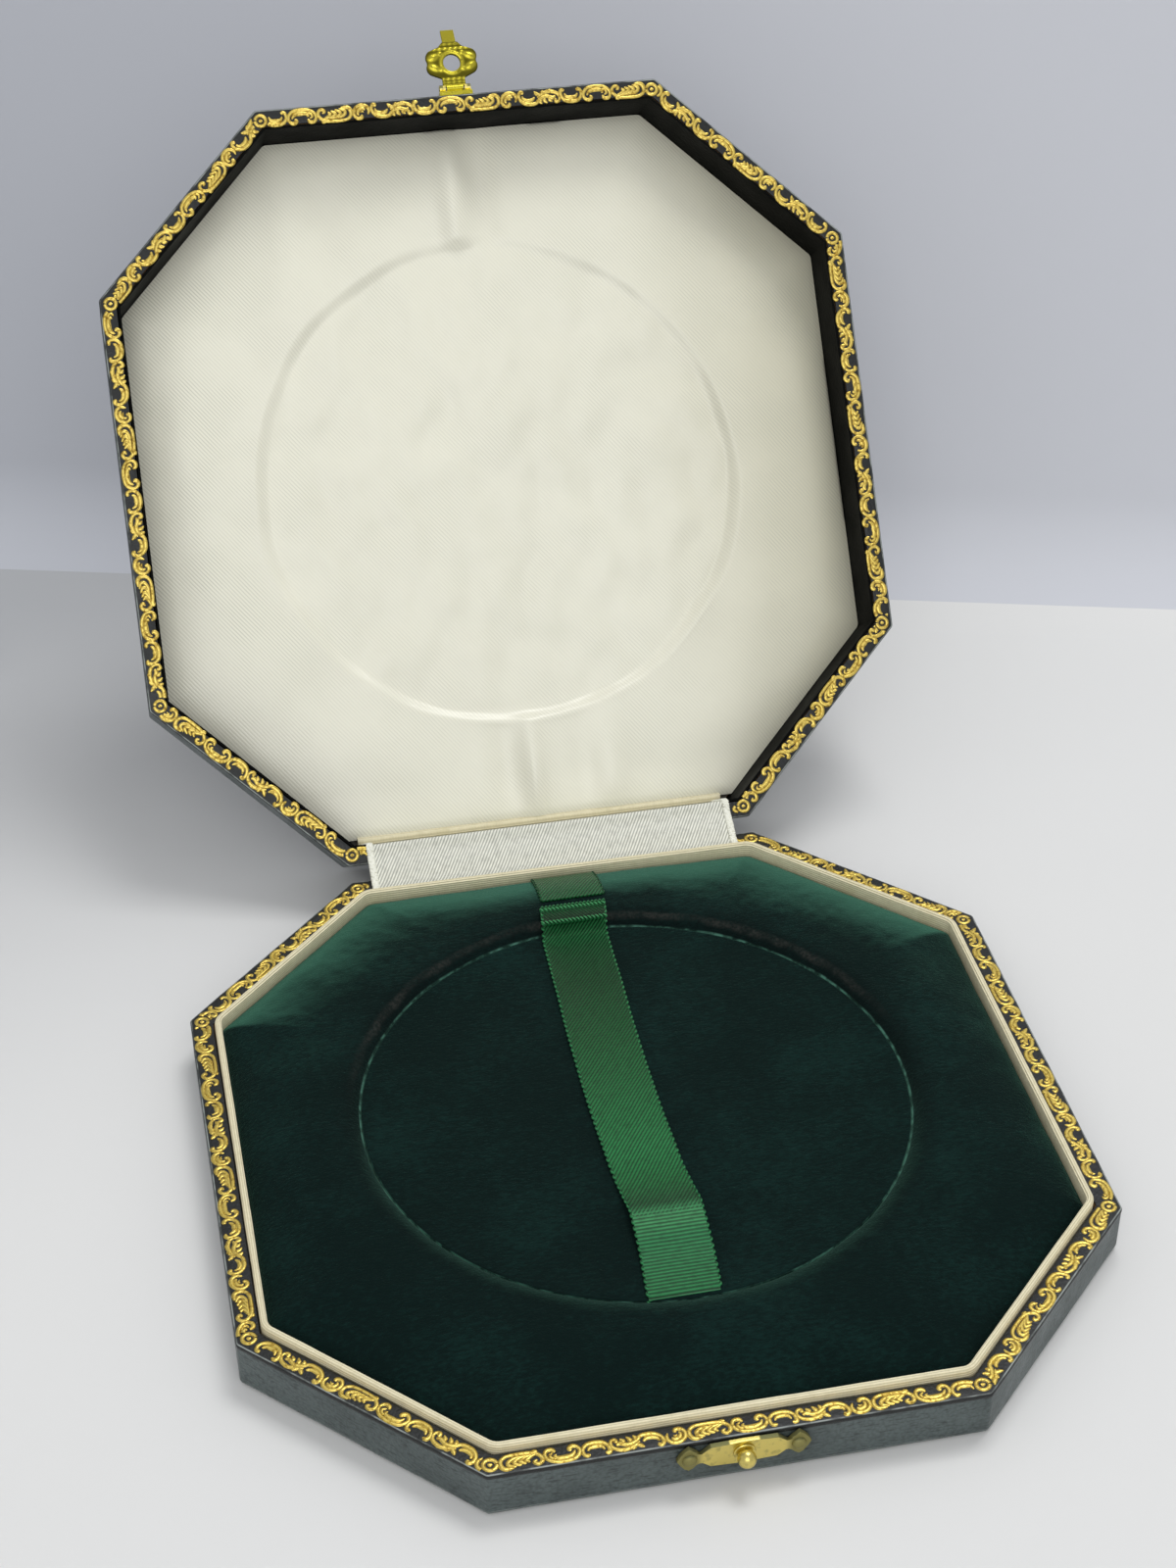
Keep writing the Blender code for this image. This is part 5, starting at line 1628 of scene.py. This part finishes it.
@dataclass
class HingeRibbon:
    """The white ribbed ribbon glued over the hinge, from the collar up over the lid's rim to the satin."""

    stock: Stock
    width: float = 60.3 * MM
    thickness: float = 0.25 * MM
    base_start: float = HALF - 3.4 * MM
    glued_to: float = HALF - 1.3 * MM
    over_barrel: float = 1.2 * MM
    lid_wall: float = HALF - 3.03 * MM
    rib_pitch: float = 0.54 * MM
    rib_slant: float = 0.55
    rib_height: float = 0.1 * MM
    thread: float = 0.24 * MM
    crest_place: float = 0.135 * MM
    glue_drop: float = 0.325 * MM
    strands: int = 4
    braid_pitch: float = 1.35 * MM
    braid_swing: float = 0.42 * MM
    braid_rise: float = 0.11 * MM

    def path(self) -> tuple[Points, Vector, Vector]:
        """Trace the ribbon with the lid open.

        Returns:
            Its middle line as (y, z), and where it leaves the base and reaches the lid.
        """
        axis = LID_HINGE.place
        base_level = axis.z - self.glue_drop
        lid_level = axis.z + self.glue_drop
        rise = Vector((0, self.glued_to, base_level))
        land = LID_OPEN @ Vector((0, self.glued_to, lid_level))
        top = [Vector((0, *point)) for point in arc((axis.y, axis.z), self.over_barrel, 124, 108, 3)]
        lid = [(self.lid_wall, lid_level), (self.lid_wall, LID_RIM + 9.3 * MM)]
        stops = [Vector((0, self.base_start, base_level)), rise, *top, land]
        stops += [LID_OPEN @ Vector((0, y, z)) for y, z in lid]
        return smooth_path([(stop.y, stop.z) for stop in stops], 0.25 * MM, 5), rise, land

    def build(self) -> None:
        """Make the ribbon and its braided ends, bent over the hinge."""
        path, rise, land = self.path()
        columns = int(self.width / (self.rib_pitch / 6))
        across = np.linspace(-self.width / 2, self.width / 2, columns + 1)
        rows = strip_rows(path, across, self.thickness)
        run = run_along(path)
        forward = directions(path)
        up = np.column_stack([-forward[:, 1], forward[:, 0]])
        phase = (across[None, :] - run[:, None] * self.rib_slant) / self.rib_pitch
        ribs = self.rib_height * (np.abs(np.sin(math.pi * phase)) - 0.6)
        count = len(across)
        rows[:, :count, 1] += ribs * up[:, None, 0]
        rows[:, :count, 2] += ribs * up[:, None, 1]
        columns_map = np.concatenate([across, across[::-1], across[:1]])
        maps = np.stack(np.meshgrid(columns_map, run), axis=-1)
        maker = Maker().grid(rows, maps, ring=True, caps=True)
        ribbon = maker.build("hinge_ribbon_grosgrain", self.stock["white_ribbon"], 75)
        braids = self.braids(path, run, up)
        for piece in (ribbon, braids):
            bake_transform(piece)
            log.info("%s bends from the base to the lid", piece.name)
        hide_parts("hinge_ribbon_base", "hinge_ribbon_lid")

    def braids(self, path: Points, run: Points, up: Points) -> Piece:
        """Shape the frayed, braided threads along the ribbon's two ends.

        Args:
            path: The ribbon's middle line as (y, z).
            run: How far along it each point lies.
            up: The direction out of its face at each point.

        Returns:
            All the threads, as one piece.
        """
        maker = Maker()
        places = np.linspace(0, run[-1], 150)
        for side in (-1, 1):
            for strand in range(self.strands):
                phase = 2 * math.pi * (places / self.braid_pitch + strand / self.strands)
                x = side * (self.width / 2 - 0.25 * MM + self.braid_swing * np.sin(phase))
                lift = self.thickness * 0.75 + self.braid_rise * np.sin(2 * phase + strand)
                y = np.interp(places, run, path[:, 0]) + lift * np.interp(places, run, up[:, 0])
                z = np.interp(places, run, path[:, 1]) + lift * np.interp(places, run, up[:, 1])
                tube = thread_tube(np.column_stack([x, y, z]), self.thread, 6)
                bright = np.tile((self.crest_place, 0.0), (len(tube), 7, 1))
                maker.grid(tube, bright, ring=True, caps=True)
        return maker.build("hinge_ribbon_braids", self.stock["white_ribbon"], 70)


def thread_tube(line: Points, radius: float, sides: int) -> Points:
    """Skin a round thread along a line.

    Args:
        line: Points x 3.
        radius: The thread's radius.
        sides: How many sides it has.

    Returns:
        Rows x sides x 3.
    """
    forward = directions(line)
    first = np.cross(forward, (0.3, 0.2, 1.0))
    first /= np.linalg.norm(first, axis=1)[:, None]
    second = np.cross(forward, first)
    turns = full_turn(sides)
    return np.array([[line[row] + radius * (math.cos(t) * first[row] + math.sin(t) * second[row])
                      for t in turns] for row in range(len(line))])


@dataclass
class SatinLining:
    """The padded satin in the lid with the medal's round print, and the cream strip along the hinge."""

    stock: Stock
    outer: float = 3.4 * MM
    back_outer: float = 4.25 * MM
    corner_round: float = 1.4 * MM
    back: float = LID_TOP - 3.8 * MM
    crest: float = LID_TOP - 7.2 * MM
    edge: float = LID_TOP - 5.0 * MM
    print_depth: float = 1.5 * MM
    print_radius: float = RECESS_RADIUS - 0.2 * MM
    print_edge: float = 2.6 * MM
    centre_calm: float = 9.0 * MM
    strip_half: float = 31.0 * MM
    strip_wall: float = HALF - 3.3 * MM
    strip_width: float = 1.3 * MM
    strip_round: float = 0.3 * MM
    strip_drop: float = 1.0 * MM
    strip_girth: float = 2.4 * MM
    # Each fold's place along X and Y, its reach both ways and its rise, in millimetres.
    folds: tuple = ((-2.0, -53.0, 2.2, 16.0, 1.7), (3.5, -51.0, 2.4, 14.0, -1.3), (-0.2, 51.0, 1.6, 9.0, 1.6),
                 (-4.8, 50.0, 2.4, 9.0, -0.9), (13.0, 53.0, 2.6, 8.0, 0.8), (8.5, 52.0, 2.2, 8.0, -0.4),
                 (-30.0, -46.0, 4.0, 9.0, 0.5), (-24.0, -47.0, 3.0, 8.0, -0.35), (-46.0, 28.0, 6.0, 9.0, 0.4),
                 (46.0, -24.0, 5.0, 12.0, 0.35), (26.0, -50.0, 4.0, 8.0, 0.3), (-52.0, -12.0, 3.0, 12.0, 0.3))

    def height(self, points: Points, share: Points) -> Points:
        """Work out the satin's height over the closed plan.

        Args:
            points: Plan points x 2.
            share: How far out from the print's brow to the wall each lies, below zero inside the brow.

        Returns:
            Height of each point with the lid closed; lower is nearer the viewer when it is open.
        """
        x, y = points[:, 0] / MM, points[:, 1] / MM
        radius = np.linalg.norm(points - RECESS_CENTRE, axis=1)
        out = np.clip(share, 0, 1)
        fall = 0.85 * out ** 2.6 + 0.15 * out ** 10
        made = self.crest + (self.edge - self.crest) * fall
        turn = np.arctan2(points[:, 1] - RECESS_CENTRE[1], points[:, 0] - RECESS_CENTRE[0])
        uneven = 0.3 * MM * (np.sin(3 * turn + 0.5) + 0.7 * np.sin(7 * turn) + 0.4 * np.sin(13 * turn + 1.1))
        inside = np.clip((self.print_radius + uneven + self.print_edge / 2 - radius) / self.print_edge, 0, 1)
        strong = 0.62 + 0.2 * np.sin(turn) + 0.12 * np.sin(2 * turn + 0.6) + 0.06 * np.sin(5 * turn)
        made = made + self.print_depth * strong * inside ** 2 * (3 - 2 * inside)
        welt = np.exp(-((radius - self.print_radius - 0.4 * MM) / (0.7 * MM)) ** 2)
        made = made - 0.12 * MM * welt * strong
        made = made - 0.5 * MM * np.clip((y - 50) / 7, 0, 1) ** 2
        beyond = 1 / (1 + np.exp(-(radius - self.print_radius) / (0.6 * MM)))
        for at_x, at_y, wide, long, rise in self.folds:
            bump = np.exp(-((x - at_x) / wide) ** 2 - ((y - at_y) / long) ** 2)
            made = made - rise * MM * bump * beyond * (1 - 0.7 * out ** 4)
        swell = [noise.noise(Vector((px / 11, py / 13, 4.0))) for px, py in zip(x, y)]
        crumple = [noise.noise(Vector((px / 4.5, py / 6.5, 9.0))) for px, py in zip(x, y)]
        pressed = 1 - beyond
        made = made + (np.array(swell) * 0.5 + np.array(crumple) * 0.42 * pressed) * MM * (1 - out ** 6)
        return made

    def pad(self) -> Piece:
        """Shape the satin over its wadding.

        Returns:
            The satin pad.
        """
        plan, _ = Octagon(side_steps=56, corner_steps=8).ring(self.outer, self.corner_round)
        plan[:, 1] = np.minimum(plan[:, 1], HALF - self.back_outer)
        rays = plan - RECESS_CENTRE
        reach = np.linalg.norm(rays, axis=1)
        rays = rays / reach[:, None]
        brow = self.print_radius + self.print_edge
        rows = []
        inner_radii = np.concatenate([np.linspace(0.02, 0.9, 46) * brow, np.linspace(0.905, 1.0, 20) * brow])
        middle = float(self.height(RECESS_CENTRE[None, :], np.array((-1.0,)))[0])
        for radius in inner_radii:
            points = RECESS_CENTRE + rays * radius
            calm = min(radius / self.centre_calm, 1.0)
            calm = calm * calm * (3 - 2 * calm)
            heights = self.height(points, np.full(len(points), -1.0))
            rows.append((points, middle + (heights - middle) * calm))
        for share in np.linspace(0, 1, 40)[1:]:
            points = RECESS_CENTRE + rays * (brow + (reach - brow) * share)[:, None]
            rows.append((points, self.height(points, np.full(len(points), share))))
        rows.append((plan, np.full(len(plan), self.back)))
        grid = np.array([np.column_stack([points, heights]) for points, heights in rows])
        grid_map = np.concatenate([grid, grid[:, :1]], axis=1)[..., :2]
        maker = Maker().grid(grid, grid_map, ring=True, caps=True)
        return maker.build("satin_pad_duchess", self.stock["satin"], 65)

    def strip(self) -> Piece:
        """Shape the narrow cream strip along the hinge, with rounded long edges.

        Returns:
            The strip.
        """
        wall, bend = self.strip_wall, self.strip_round
        inner = wall - self.strip_width
        level = self.edge - self.strip_drop + bend
        section = [(wall, self.back), (wall, level), *arc((wall - bend, level), bend, 0, -90, 4)]
        section += [*arc((inner + bend, level), bend, -90, -180, 4), (inner, self.back)]
        places = np.linspace(-self.strip_half, self.strip_half, 60)
        rows = np.array([[(x, y, z) for y, z in section] for x in places])
        down = np.linspace(0, self.strip_girth, len(section) + 1)
        maps = np.stack(np.meshgrid(down, places), axis=-1)[..., ::-1]
        maker = Maker().grid(rows, maps, ring=True, caps=True)
        return maker.build("satin_edge_silk", self.stock["cream_silk"], 50)

    def build(self) -> None:
        """Make the satin pad and the strip."""
        pad = settle(self.pad(), "lid", ("satin_pad",), LID_OPEN)
        settle(self.strip(), "lid", ("satin_edge_strip",), LID_OPEN)


def lathe(profile: list[tuple[float, float]], place: Vector, sides: int = 48) -> Points:
    """Turn a profile of radii and distances out about a line along -Y through a place."""
    turns = full_turn(sides)
    return np.array([[(place.x + r * math.cos(t), place.y - out, place.z + r * math.sin(t)) for t in turns]
                     for r, out in profile])


@dataclass
class Catch:
    """The stamped plate on the base's front wall with its two domed nails and the collared ball stud."""

    stock: Stock
    plate_length: float = 18.0 * MM
    plate_height: float = 4.1 * MM
    face: float = 0.85 * MM
    back: float = 0.2 * MM
    bevel: float = 0.16 * MM
    below_rim: float = 2.3 * MM
    nail_share: float = 0.81
    nail_radius: float = 1.0 * MM
    nail_dome: float = 0.6 * MM
    collar_radius: float = 1.5 * MM
    collar_thick: float = 0.27 * MM
    neck_radius: float = 0.7 * MM
    ball_radius: float = 1.28 * MM
    ball_reach: float = 2.05 * MM
    nail_shank: float = 0.35 * MM
    knob_shank: float = 0.5 * MM
    shank_depth: float = 1.8 * MM
    top_shares: tuple = ((0.0, 0.96), (0.5, 0.9), (0.62, 0.42), (0.66, 0.3), (0.7, 0.55), (0.76, 0.78),
                         (0.82, 1.0), (0.88, 0.78), (0.95, 0.42), (1.0, 0.0))

    def outline(self) -> list[tuple[float, float]]:
        """Draw the plate's outline about its middle.

        Returns:
            Points along X and Z.
        """
        half_length, half_height = self.plate_length / 2, self.plate_height / 2
        top = [(x * half_length, z * half_height) for x, z in self.top_shares]
        right = top + [(x, -z) for x, z in reversed(top[:-1])]
        return right + [(-x, z) for x, z in reversed(right[1:-1])]

    def plate(self) -> Piece:
        """Shape the plate with its bevelled front edge.

        Returns:
            The plate.
        """
        centre_z = BASE_RIM - self.below_rim
        shape = bmesh.new()
        rows = []
        for out in (self.back, self.face):
            rows.append([shape.verts.new((x, -HALF - out, centre_z + z)) for x, z in self.outline()])
        shape.faces.new(rows[0])
        front = shape.faces.new(rows[1][::-1])
        count = len(rows[0])
        for index in range(count):
            after = (index + 1) % count
            shape.faces.new((rows[0][index], rows[1][index], rows[1][after], rows[0][after]))
        bmesh.ops.bevel(shape, geom=list(front.edges), offset=self.bevel, segments=3, affect="EDGES",
                        profile=0.6)
        bmesh.ops.recalc_face_normals(shape, faces=shape.faces)
        mesh = bpy.data.meshes.new("catch_plate_brass")
        shape.to_mesh(mesh)
        shape.free()
        return show_mesh(mesh, self.stock["brass"], 30)

    def build(self) -> None:
        """Make the plate, the nails and the stud."""
        settle(self.plate(), "base", ("catch_plate",))
        middle = Vector((0, -HALF, BASE_RIM - self.below_rim))
        shank = [(self.nail_shank, -self.shank_depth), (self.nail_shank, self.face - 0.1 * MM)]
        dome = [(self.nail_radius * math.cos(t), self.face + self.nail_dome * math.sin(t))
                for t in np.radians((0, 18, 36, 54, 72, 86))]
        for side, name in ((-1, "left"), (1, "right")):
            place = middle + Vector((side * self.nail_share * self.plate_length / 2, 0, 0))
            maker = Maker().grid(lathe(shank + dome, place), ring=True, caps=True)
            nail = maker.build(f"catch_nail_{name}_domed", self.stock["brass"], 50)
            settle(nail, "base", (f"catch_nail_{name}",))
        seat, shelf = self.face, self.face + self.collar_thick
        profile = [(self.knob_shank, -self.shank_depth), (self.knob_shank, seat)]
        profile += [(self.collar_radius - 0.08 * MM, seat)]
        profile += [(self.collar_radius, seat + 0.1 * MM), (self.collar_radius, shelf - 0.1 * MM)]
        profile += [(self.collar_radius - 0.1 * MM, shelf), (self.neck_radius, shelf)]
        start = math.degrees(math.asin(self.neck_radius / self.ball_radius))
        profile += [(r, out) for out, r in arc((self.ball_reach, 0), self.ball_radius, 180 - start, 3, 16)]
        maker = Maker().grid(lathe(profile, middle), ring=True, caps=True)
        settle(maker.build("catch_knob_turned", self.stock["brass"], 35), "base", ("catch_knob",))


@dataclass
class Hasp:
    """The stamped, gilt hasp: a ring, four scrolled lobes, the knuckle it swings on and its thumb tab."""

    stock: Stock
    thickness: float = 0.6 * MM
    hole_down: float = 4.3 * MM
    hole_radius: float = 1.45 * MM
    ring_width: float = 0.65 * MM
    neck_half: float = 1.9 * MM
    neck_length: float = 1.7 * MM
    lobe_radius: float = 1.3 * MM
    lobe_out: float = 3.0 * MM
    lobe_low: float = 0.7 * MM
    lobe_high: float = 1.0 * MM
    length: float = 7.8 * MM
    shoulder_half: float = 1.3 * MM
    barrel_radius: float = 0.65 * MM
    barrel_half: float = 1.4 * MM
    pin_hole: float = 0.4 * MM
    swell: float = 0.62 * MM
    tab_half: float = 1.1 * MM
    tab_length: float = 3.1 * MM
    tab_thick: float = 0.45 * MM
    tab_angle: float = 27.0
    edge_half: float = 2.75 * MM
    back_relief: float = 0.18 * MM
    edge_low: tuple = (-63.2 * MM, 8.65 * MM)
    edge_high: tuple = (-62.5 * MM, 10.3 * MM)

    def outline(self) -> Points:
        """Draw the outline about the hole's centre, down positive.

        Returns:
            Points x 2, anticlockwise by angle.
        """
        low = (self.lobe_out, -self.lobe_low)
        high = (self.lobe_out, self.lobe_high)
        down = self.hole_down
        right = [(0.0, self.barrel_radius / 2 - down), (self.neck_half, self.barrel_radius / 2 - down)]
        right += [(self.neck_half, self.neck_length - down)]
        right += arc(low, self.lobe_radius, -65, 30, 10) + arc(high, self.lobe_radius, -30, 62, 10)
        right += [(self.shoulder_half + 0.7 * MM, self.length - down - 0.75 * MM)]
        right += [(self.shoulder_half, self.length - down), (0.0, self.length - down)]
        return np.array(right + [(-x, z) for x, z in reversed(right[1:-1])])

    def body(self) -> Points:
        """Shape the stamped plate about its hole.

        Returns:
            Rows x columns x 3, closed both ways.
        """
        edge = self.outline()
        closed = np.vstack([edge, edge[:1]])
        run = run_along(closed)
        places = np.linspace(0, run[-1], 241)[:-1]
        rim = line_at(places, run, closed)
        reach = np.linalg.norm(rim, axis=1)
        rays = rim / reach[:, None]
        centre_z = HASP_AXIS.z - self.hole_down
        rows = []
        shares = np.linspace(0, 1, 34)
        for facing, outward, swing in ((-1, shares, self.swell), (1, shares[::-1], self.back_relief)):
            for share in outward:
                radius = self.hole_radius + (reach - self.hole_radius) * share
                plan = rays * radius[:, None]
                rounding = 0.14 * MM * max(0.0, (share - 0.93) / 0.07) ** 2
                out = self.thickness / 2 + swing * self.relief(plan) - rounding
                rows.append(np.column_stack([plan[:, 0], HASP_AXIS.y + facing * out, centre_z - plan[:, 1]]))
        return np.array(rows)

    def relief(self, plan: Points) -> Points:
        """Work out how high the stamping stands: ring, a boss and a scroll on each lobe, the neck's bars.

        Args:
            plan: Points about the hole's centre, down positive.

        Returns:
            Height of each point, from zero in the hollows to one on the bosses.
        """
        away = np.linalg.norm(plan, axis=1) - self.hole_radius - self.ring_width / 2
        made = 0.55 * np.exp(-(away / (0.42 * self.ring_width)) ** 2)
        for side in (-1, 1):
            for z, tilt in ((-self.lobe_low, 0.5), (self.lobe_high, -0.4)):
                across, down = plan[:, 0] - side * self.lobe_out * 1.02, plan[:, 1] - z
                lengthwise = side * across * math.cos(tilt) + down * math.sin(tilt)
                aside = down * math.cos(tilt) - side * across * math.sin(tilt)
                made = made + np.exp(-(lengthwise / (0.75 * MM)) ** 2 - (aside / (0.42 * MM)) ** 2)
                scroll = np.linalg.norm(plan - (side * (self.lobe_out - 1.15 * MM), z * 1.6), axis=1)
                made = made + 0.7 * np.exp(-(scroll / (0.3 * MM)) ** 2)
        for place, high in ((-2.75, 0.5), (-3.3, 0.35), (2.35, 0.55), (3.1, 0.35)):
            beads = 0.7 + 0.3 * np.cos(2 * math.pi * plan[:, 0] / (0.9 * MM))
            made = made + high * beads * np.exp(-((plan[:, 1] - place * MM) / (0.2 * MM)) ** 2)
        return np.clip(made, 0, 1)

    def mark_darkening(self, piece: Piece) -> None:
        """Give the hasp's points a darkening value: high in the hollows of the stamping for tarnish, and on
        the tab as painted shade.

        Args:
            piece: The hasp, still closed.
        """
        points = place_points(piece)
        plan = np.column_stack([points[:, 0], HASP_AXIS.z - self.hole_down - points[:, 2]])
        values = 0.85 * (1 - np.clip(self.relief(plan) / 0.4, 0, 1))
        # Painted shade: the tab, which leans out of the light, gets a high value; the barrel a low one.
        on_barrel = plan[:, 1] < self.barrel_radius - self.hole_down
        on_tab = plan[:, 1] > self.length - self.hole_down
        values = np.where(on_barrel, 0.15, np.where(on_tab, 0.62, values))
        darkening = piece.data.attributes.new("darkening", "FLOAT", "POINT")
        darkening.data.foreach_set("value", values.astype(np.float32))

    def build(self) -> None:
        """Make the hasp, and a gilt bar along the edge of its leaf."""
        maker = Maker().grid(self.body(), ring=True, tube=True)
        turns = full_turn(32)
        ends = (-self.barrel_half, -self.barrel_half, self.barrel_half, self.barrel_half)
        radii = (self.pin_hole, self.barrel_radius, self.barrel_radius, self.pin_hole)
        barrel = [[(x, HASP_AXIS.y + r * math.cos(t), HASP_AXIS.z + r * math.sin(t)) for t in turns]
                  for x, r in zip(ends, radii)]
        maker.grid(np.array(barrel), ring=True, tube=True)
        root = np.array((HASP_AXIS.y, HASP_AXIS.z - self.length + self.tab_thick))
        lean = math.radians(self.tab_angle)
        along = np.array((-math.sin(lean), -math.cos(lean)))
        line = smooth_path([tuple(root + (0, 0.7 * MM)), tuple(root), tuple(root + along * self.tab_length)],
                           0.12 * MM, 3)
        across = np.linspace(-self.tab_half, self.tab_half, 9)
        maker.grid(strip_rows(line, across, self.tab_thick), ring=True, caps=True)
        made = maker.build("hasp_stamped", self.stock["gilt_brass"], 45)
        self.mark_darkening(made)
        settle(made, "hasp", ("hasp",), HASP_OPEN)
        low, high = self.edge_low, self.edge_high
        corners = [(low[0], low[1]), (high[0], low[1]), (high[0], high[1]), (low[0], high[1])]
        bar = [[(x, y, z) for y, z in corners] for x in (-self.edge_half, self.edge_half)]
        edge = Maker().grid(np.array(bar), ring=True, caps=True)
        made = edge.build("hasp_leaf_edge", self.stock["gilt_brass"], 30)
        settle(made, "lid", (), LID_OPEN)


@dataclass
class Carcass:
    """The wooden rails, boards, card and hinge inside, which keep their solids and take their finishes."""

    stock: Stock
    by_word: tuple = (("satin_board", "greyboard"), ("pad_former", "greyboard"), ("rail", "wood"),
                      ("board", "wood"), ("recess_block", "wood"), ("hinge_leaf", "brass"),
                      ("hinge_nail", "brass"), ("hinge_pin", "steel"), ("hasp_pin", "steel"),
                      ("hasp_leaf", "brass"), ("hasp_nail", "brass"))

    def build(self) -> None:
        """Give every solid that still shows its finish."""
        for name, node in frame["nodes"].items():
            slot = next((slot for word, slot in self.by_word if word in name), None)
            if slot and not node.hide_render:
                node.data.materials.clear()
                node.data.materials.append(self.stock[slot])
                log.info("%s is %s", name, slot)


@dataclass
class Studio:
    """The pale sweep that the case stands on, the soft light and the camera at the photograph's angle."""

    camera_place: tuple = (-68.755 * MM, -293.712 * MM, 286.550 * MM)
    camera_turn: tuple = (53.964, 0.016, -11.807)
    photo_height: int = 1600
    focal_pixels: float = 2835.6
    sensor: float = 36.0
    fold_left: tuple = (-82.0 * MM, 192.0 * MM)
    fold_right: tuple = (130.0 * MM, 133.0 * MM)
    fold_round: float = 25 * MM
    wall_lean: float = 0.33
    reach: float = 1.5
    sky: str = "#f2f3f6"
    sky_strength: float = 0.64
    # Each lamp's name, place, power in watts and side, and what they all point at.
    lamps: tuple = (("key", (0.3, 0.35, 1.15), 6.4, 0.5), ("fill", (-0.15, -0.9, 0.7), 3.6, 0.8))
    aim: tuple = (0.0, 0.03, 0.03)

    def camera(self) -> None:
        """Set the camera where the photograph was taken."""
        data = bpy.data.cameras.new("camera")
        data.sensor_width = self.sensor
        data.lens = self.focal_pixels / self.photo_height * self.sensor
        data.clip_start = 0.01
        made = bpy.data.objects.new("camera", data)
        made.location = self.camera_place
        made.rotation_euler = [math.radians(angle) for angle in self.camera_turn]
        bpy.context.scene.collection.objects.link(made)
        bpy.context.scene.camera = made

    def sweep(self) -> None:
        """Make the floor and the wall behind it, joined by a soft curve."""
        left, right = Vector((*self.fold_left, 0)), Vector((*self.fold_right, 0))
        along = (right - left).normalized()
        back = Vector((-along.y, along.x, 0))
        start, end = left - along * self.reach, right + along * self.reach
        bend = self.fold_round * math.tan((math.pi / 2 - self.wall_lean) / 2)
        curve = [(-bend + self.fold_round * math.sin(turn), self.fold_round * (1 - math.cos(turn)))
                 for turn in np.linspace(0, math.pi / 2 - self.wall_lean, 12)]
        far = (curve[-1][0] + self.reach * math.sin(self.wall_lean), curve[-1][1] + self.reach)
        section = [(-2 * self.reach, 0.0), *curve, far]
        rows = [[tuple(point + back * out + Vector((0, 0, up))) for point in (start, end)]
                for out, up in section]
        # Painted shade: the floor darkens towards its back left, the wall towards its left.
        flat = Paper("pale_paper_floor", "#e2e2e0", 0.95)
        upright = Paper("pale_paper_wall", "#ced0d6", 0.95, "#b9bcc3", (1.0, 0.0, 0.0), -160 * MM, 120 * MM)
        for name, stretch, finish in (("floor", rows[:5], flat), ("backdrop", rows[4:], upright)):
            piece = Maker().grid(np.array(stretch)).build(name, finish.build())
            if piece.data.polygons[-1].normal.dot(Vector((0, -1, 1))) < 0:
                piece.data.flip_normals()

    def lamp(self, name: str, place: tuple, watts: float, size: float) -> None:
        """Hang a soft square lamp.

        Args:
            name: Its name.
            place: Where it hangs.
            watts: Its power.
            size: Its side.
        """
        data = bpy.data.lights.new(name, "AREA")
        data.energy = watts
        data.size = size
        made = bpy.data.objects.new(name, data)
        made.location = place
        made.rotation_euler = (Vector(self.aim) - Vector(place)).to_track_quat("-Z", "Y").to_euler()
        bpy.context.scene.collection.objects.link(made)

    def build(self) -> None:
        """Set the whole stage."""
        scene = bpy.context.scene
        scene.view_settings.view_transform = "Standard"
        world = bpy.data.worlds.new("studio")
        world.use_nodes = True
        scene.world = world
        backing = world.node_tree.nodes["Background"]
        backing.inputs["Color"].default_value = linear(self.sky)
        backing.inputs["Strength"].default_value = self.sky_strength
        self.camera()
        self.sweep()
        for lamp in self.lamps:
            self.lamp(*lamp)
        log.info("stage, camera and lamps are set")


def main() -> None:
    """Dress the case piece by piece and set the stage."""
    logging.basicConfig(level=logging.INFO, format="%(name)s: %(message)s")
    Studio().build()
    stock = Stock()
    velvet = VelvetWork(stock)
    Leatherwork(stock).build()
    GiltBorder(stock).build()
    Collar(stock).build()
    velvet.build()
    LiftRibbon(stock).build(velvet)
    HingeRibbon(stock).build()
    SatinLining(stock).build()
    Catch(stock).build()
    Hasp(stock).build()
    Carcass(stock).build()


if __name__ == "__main__":
    main()
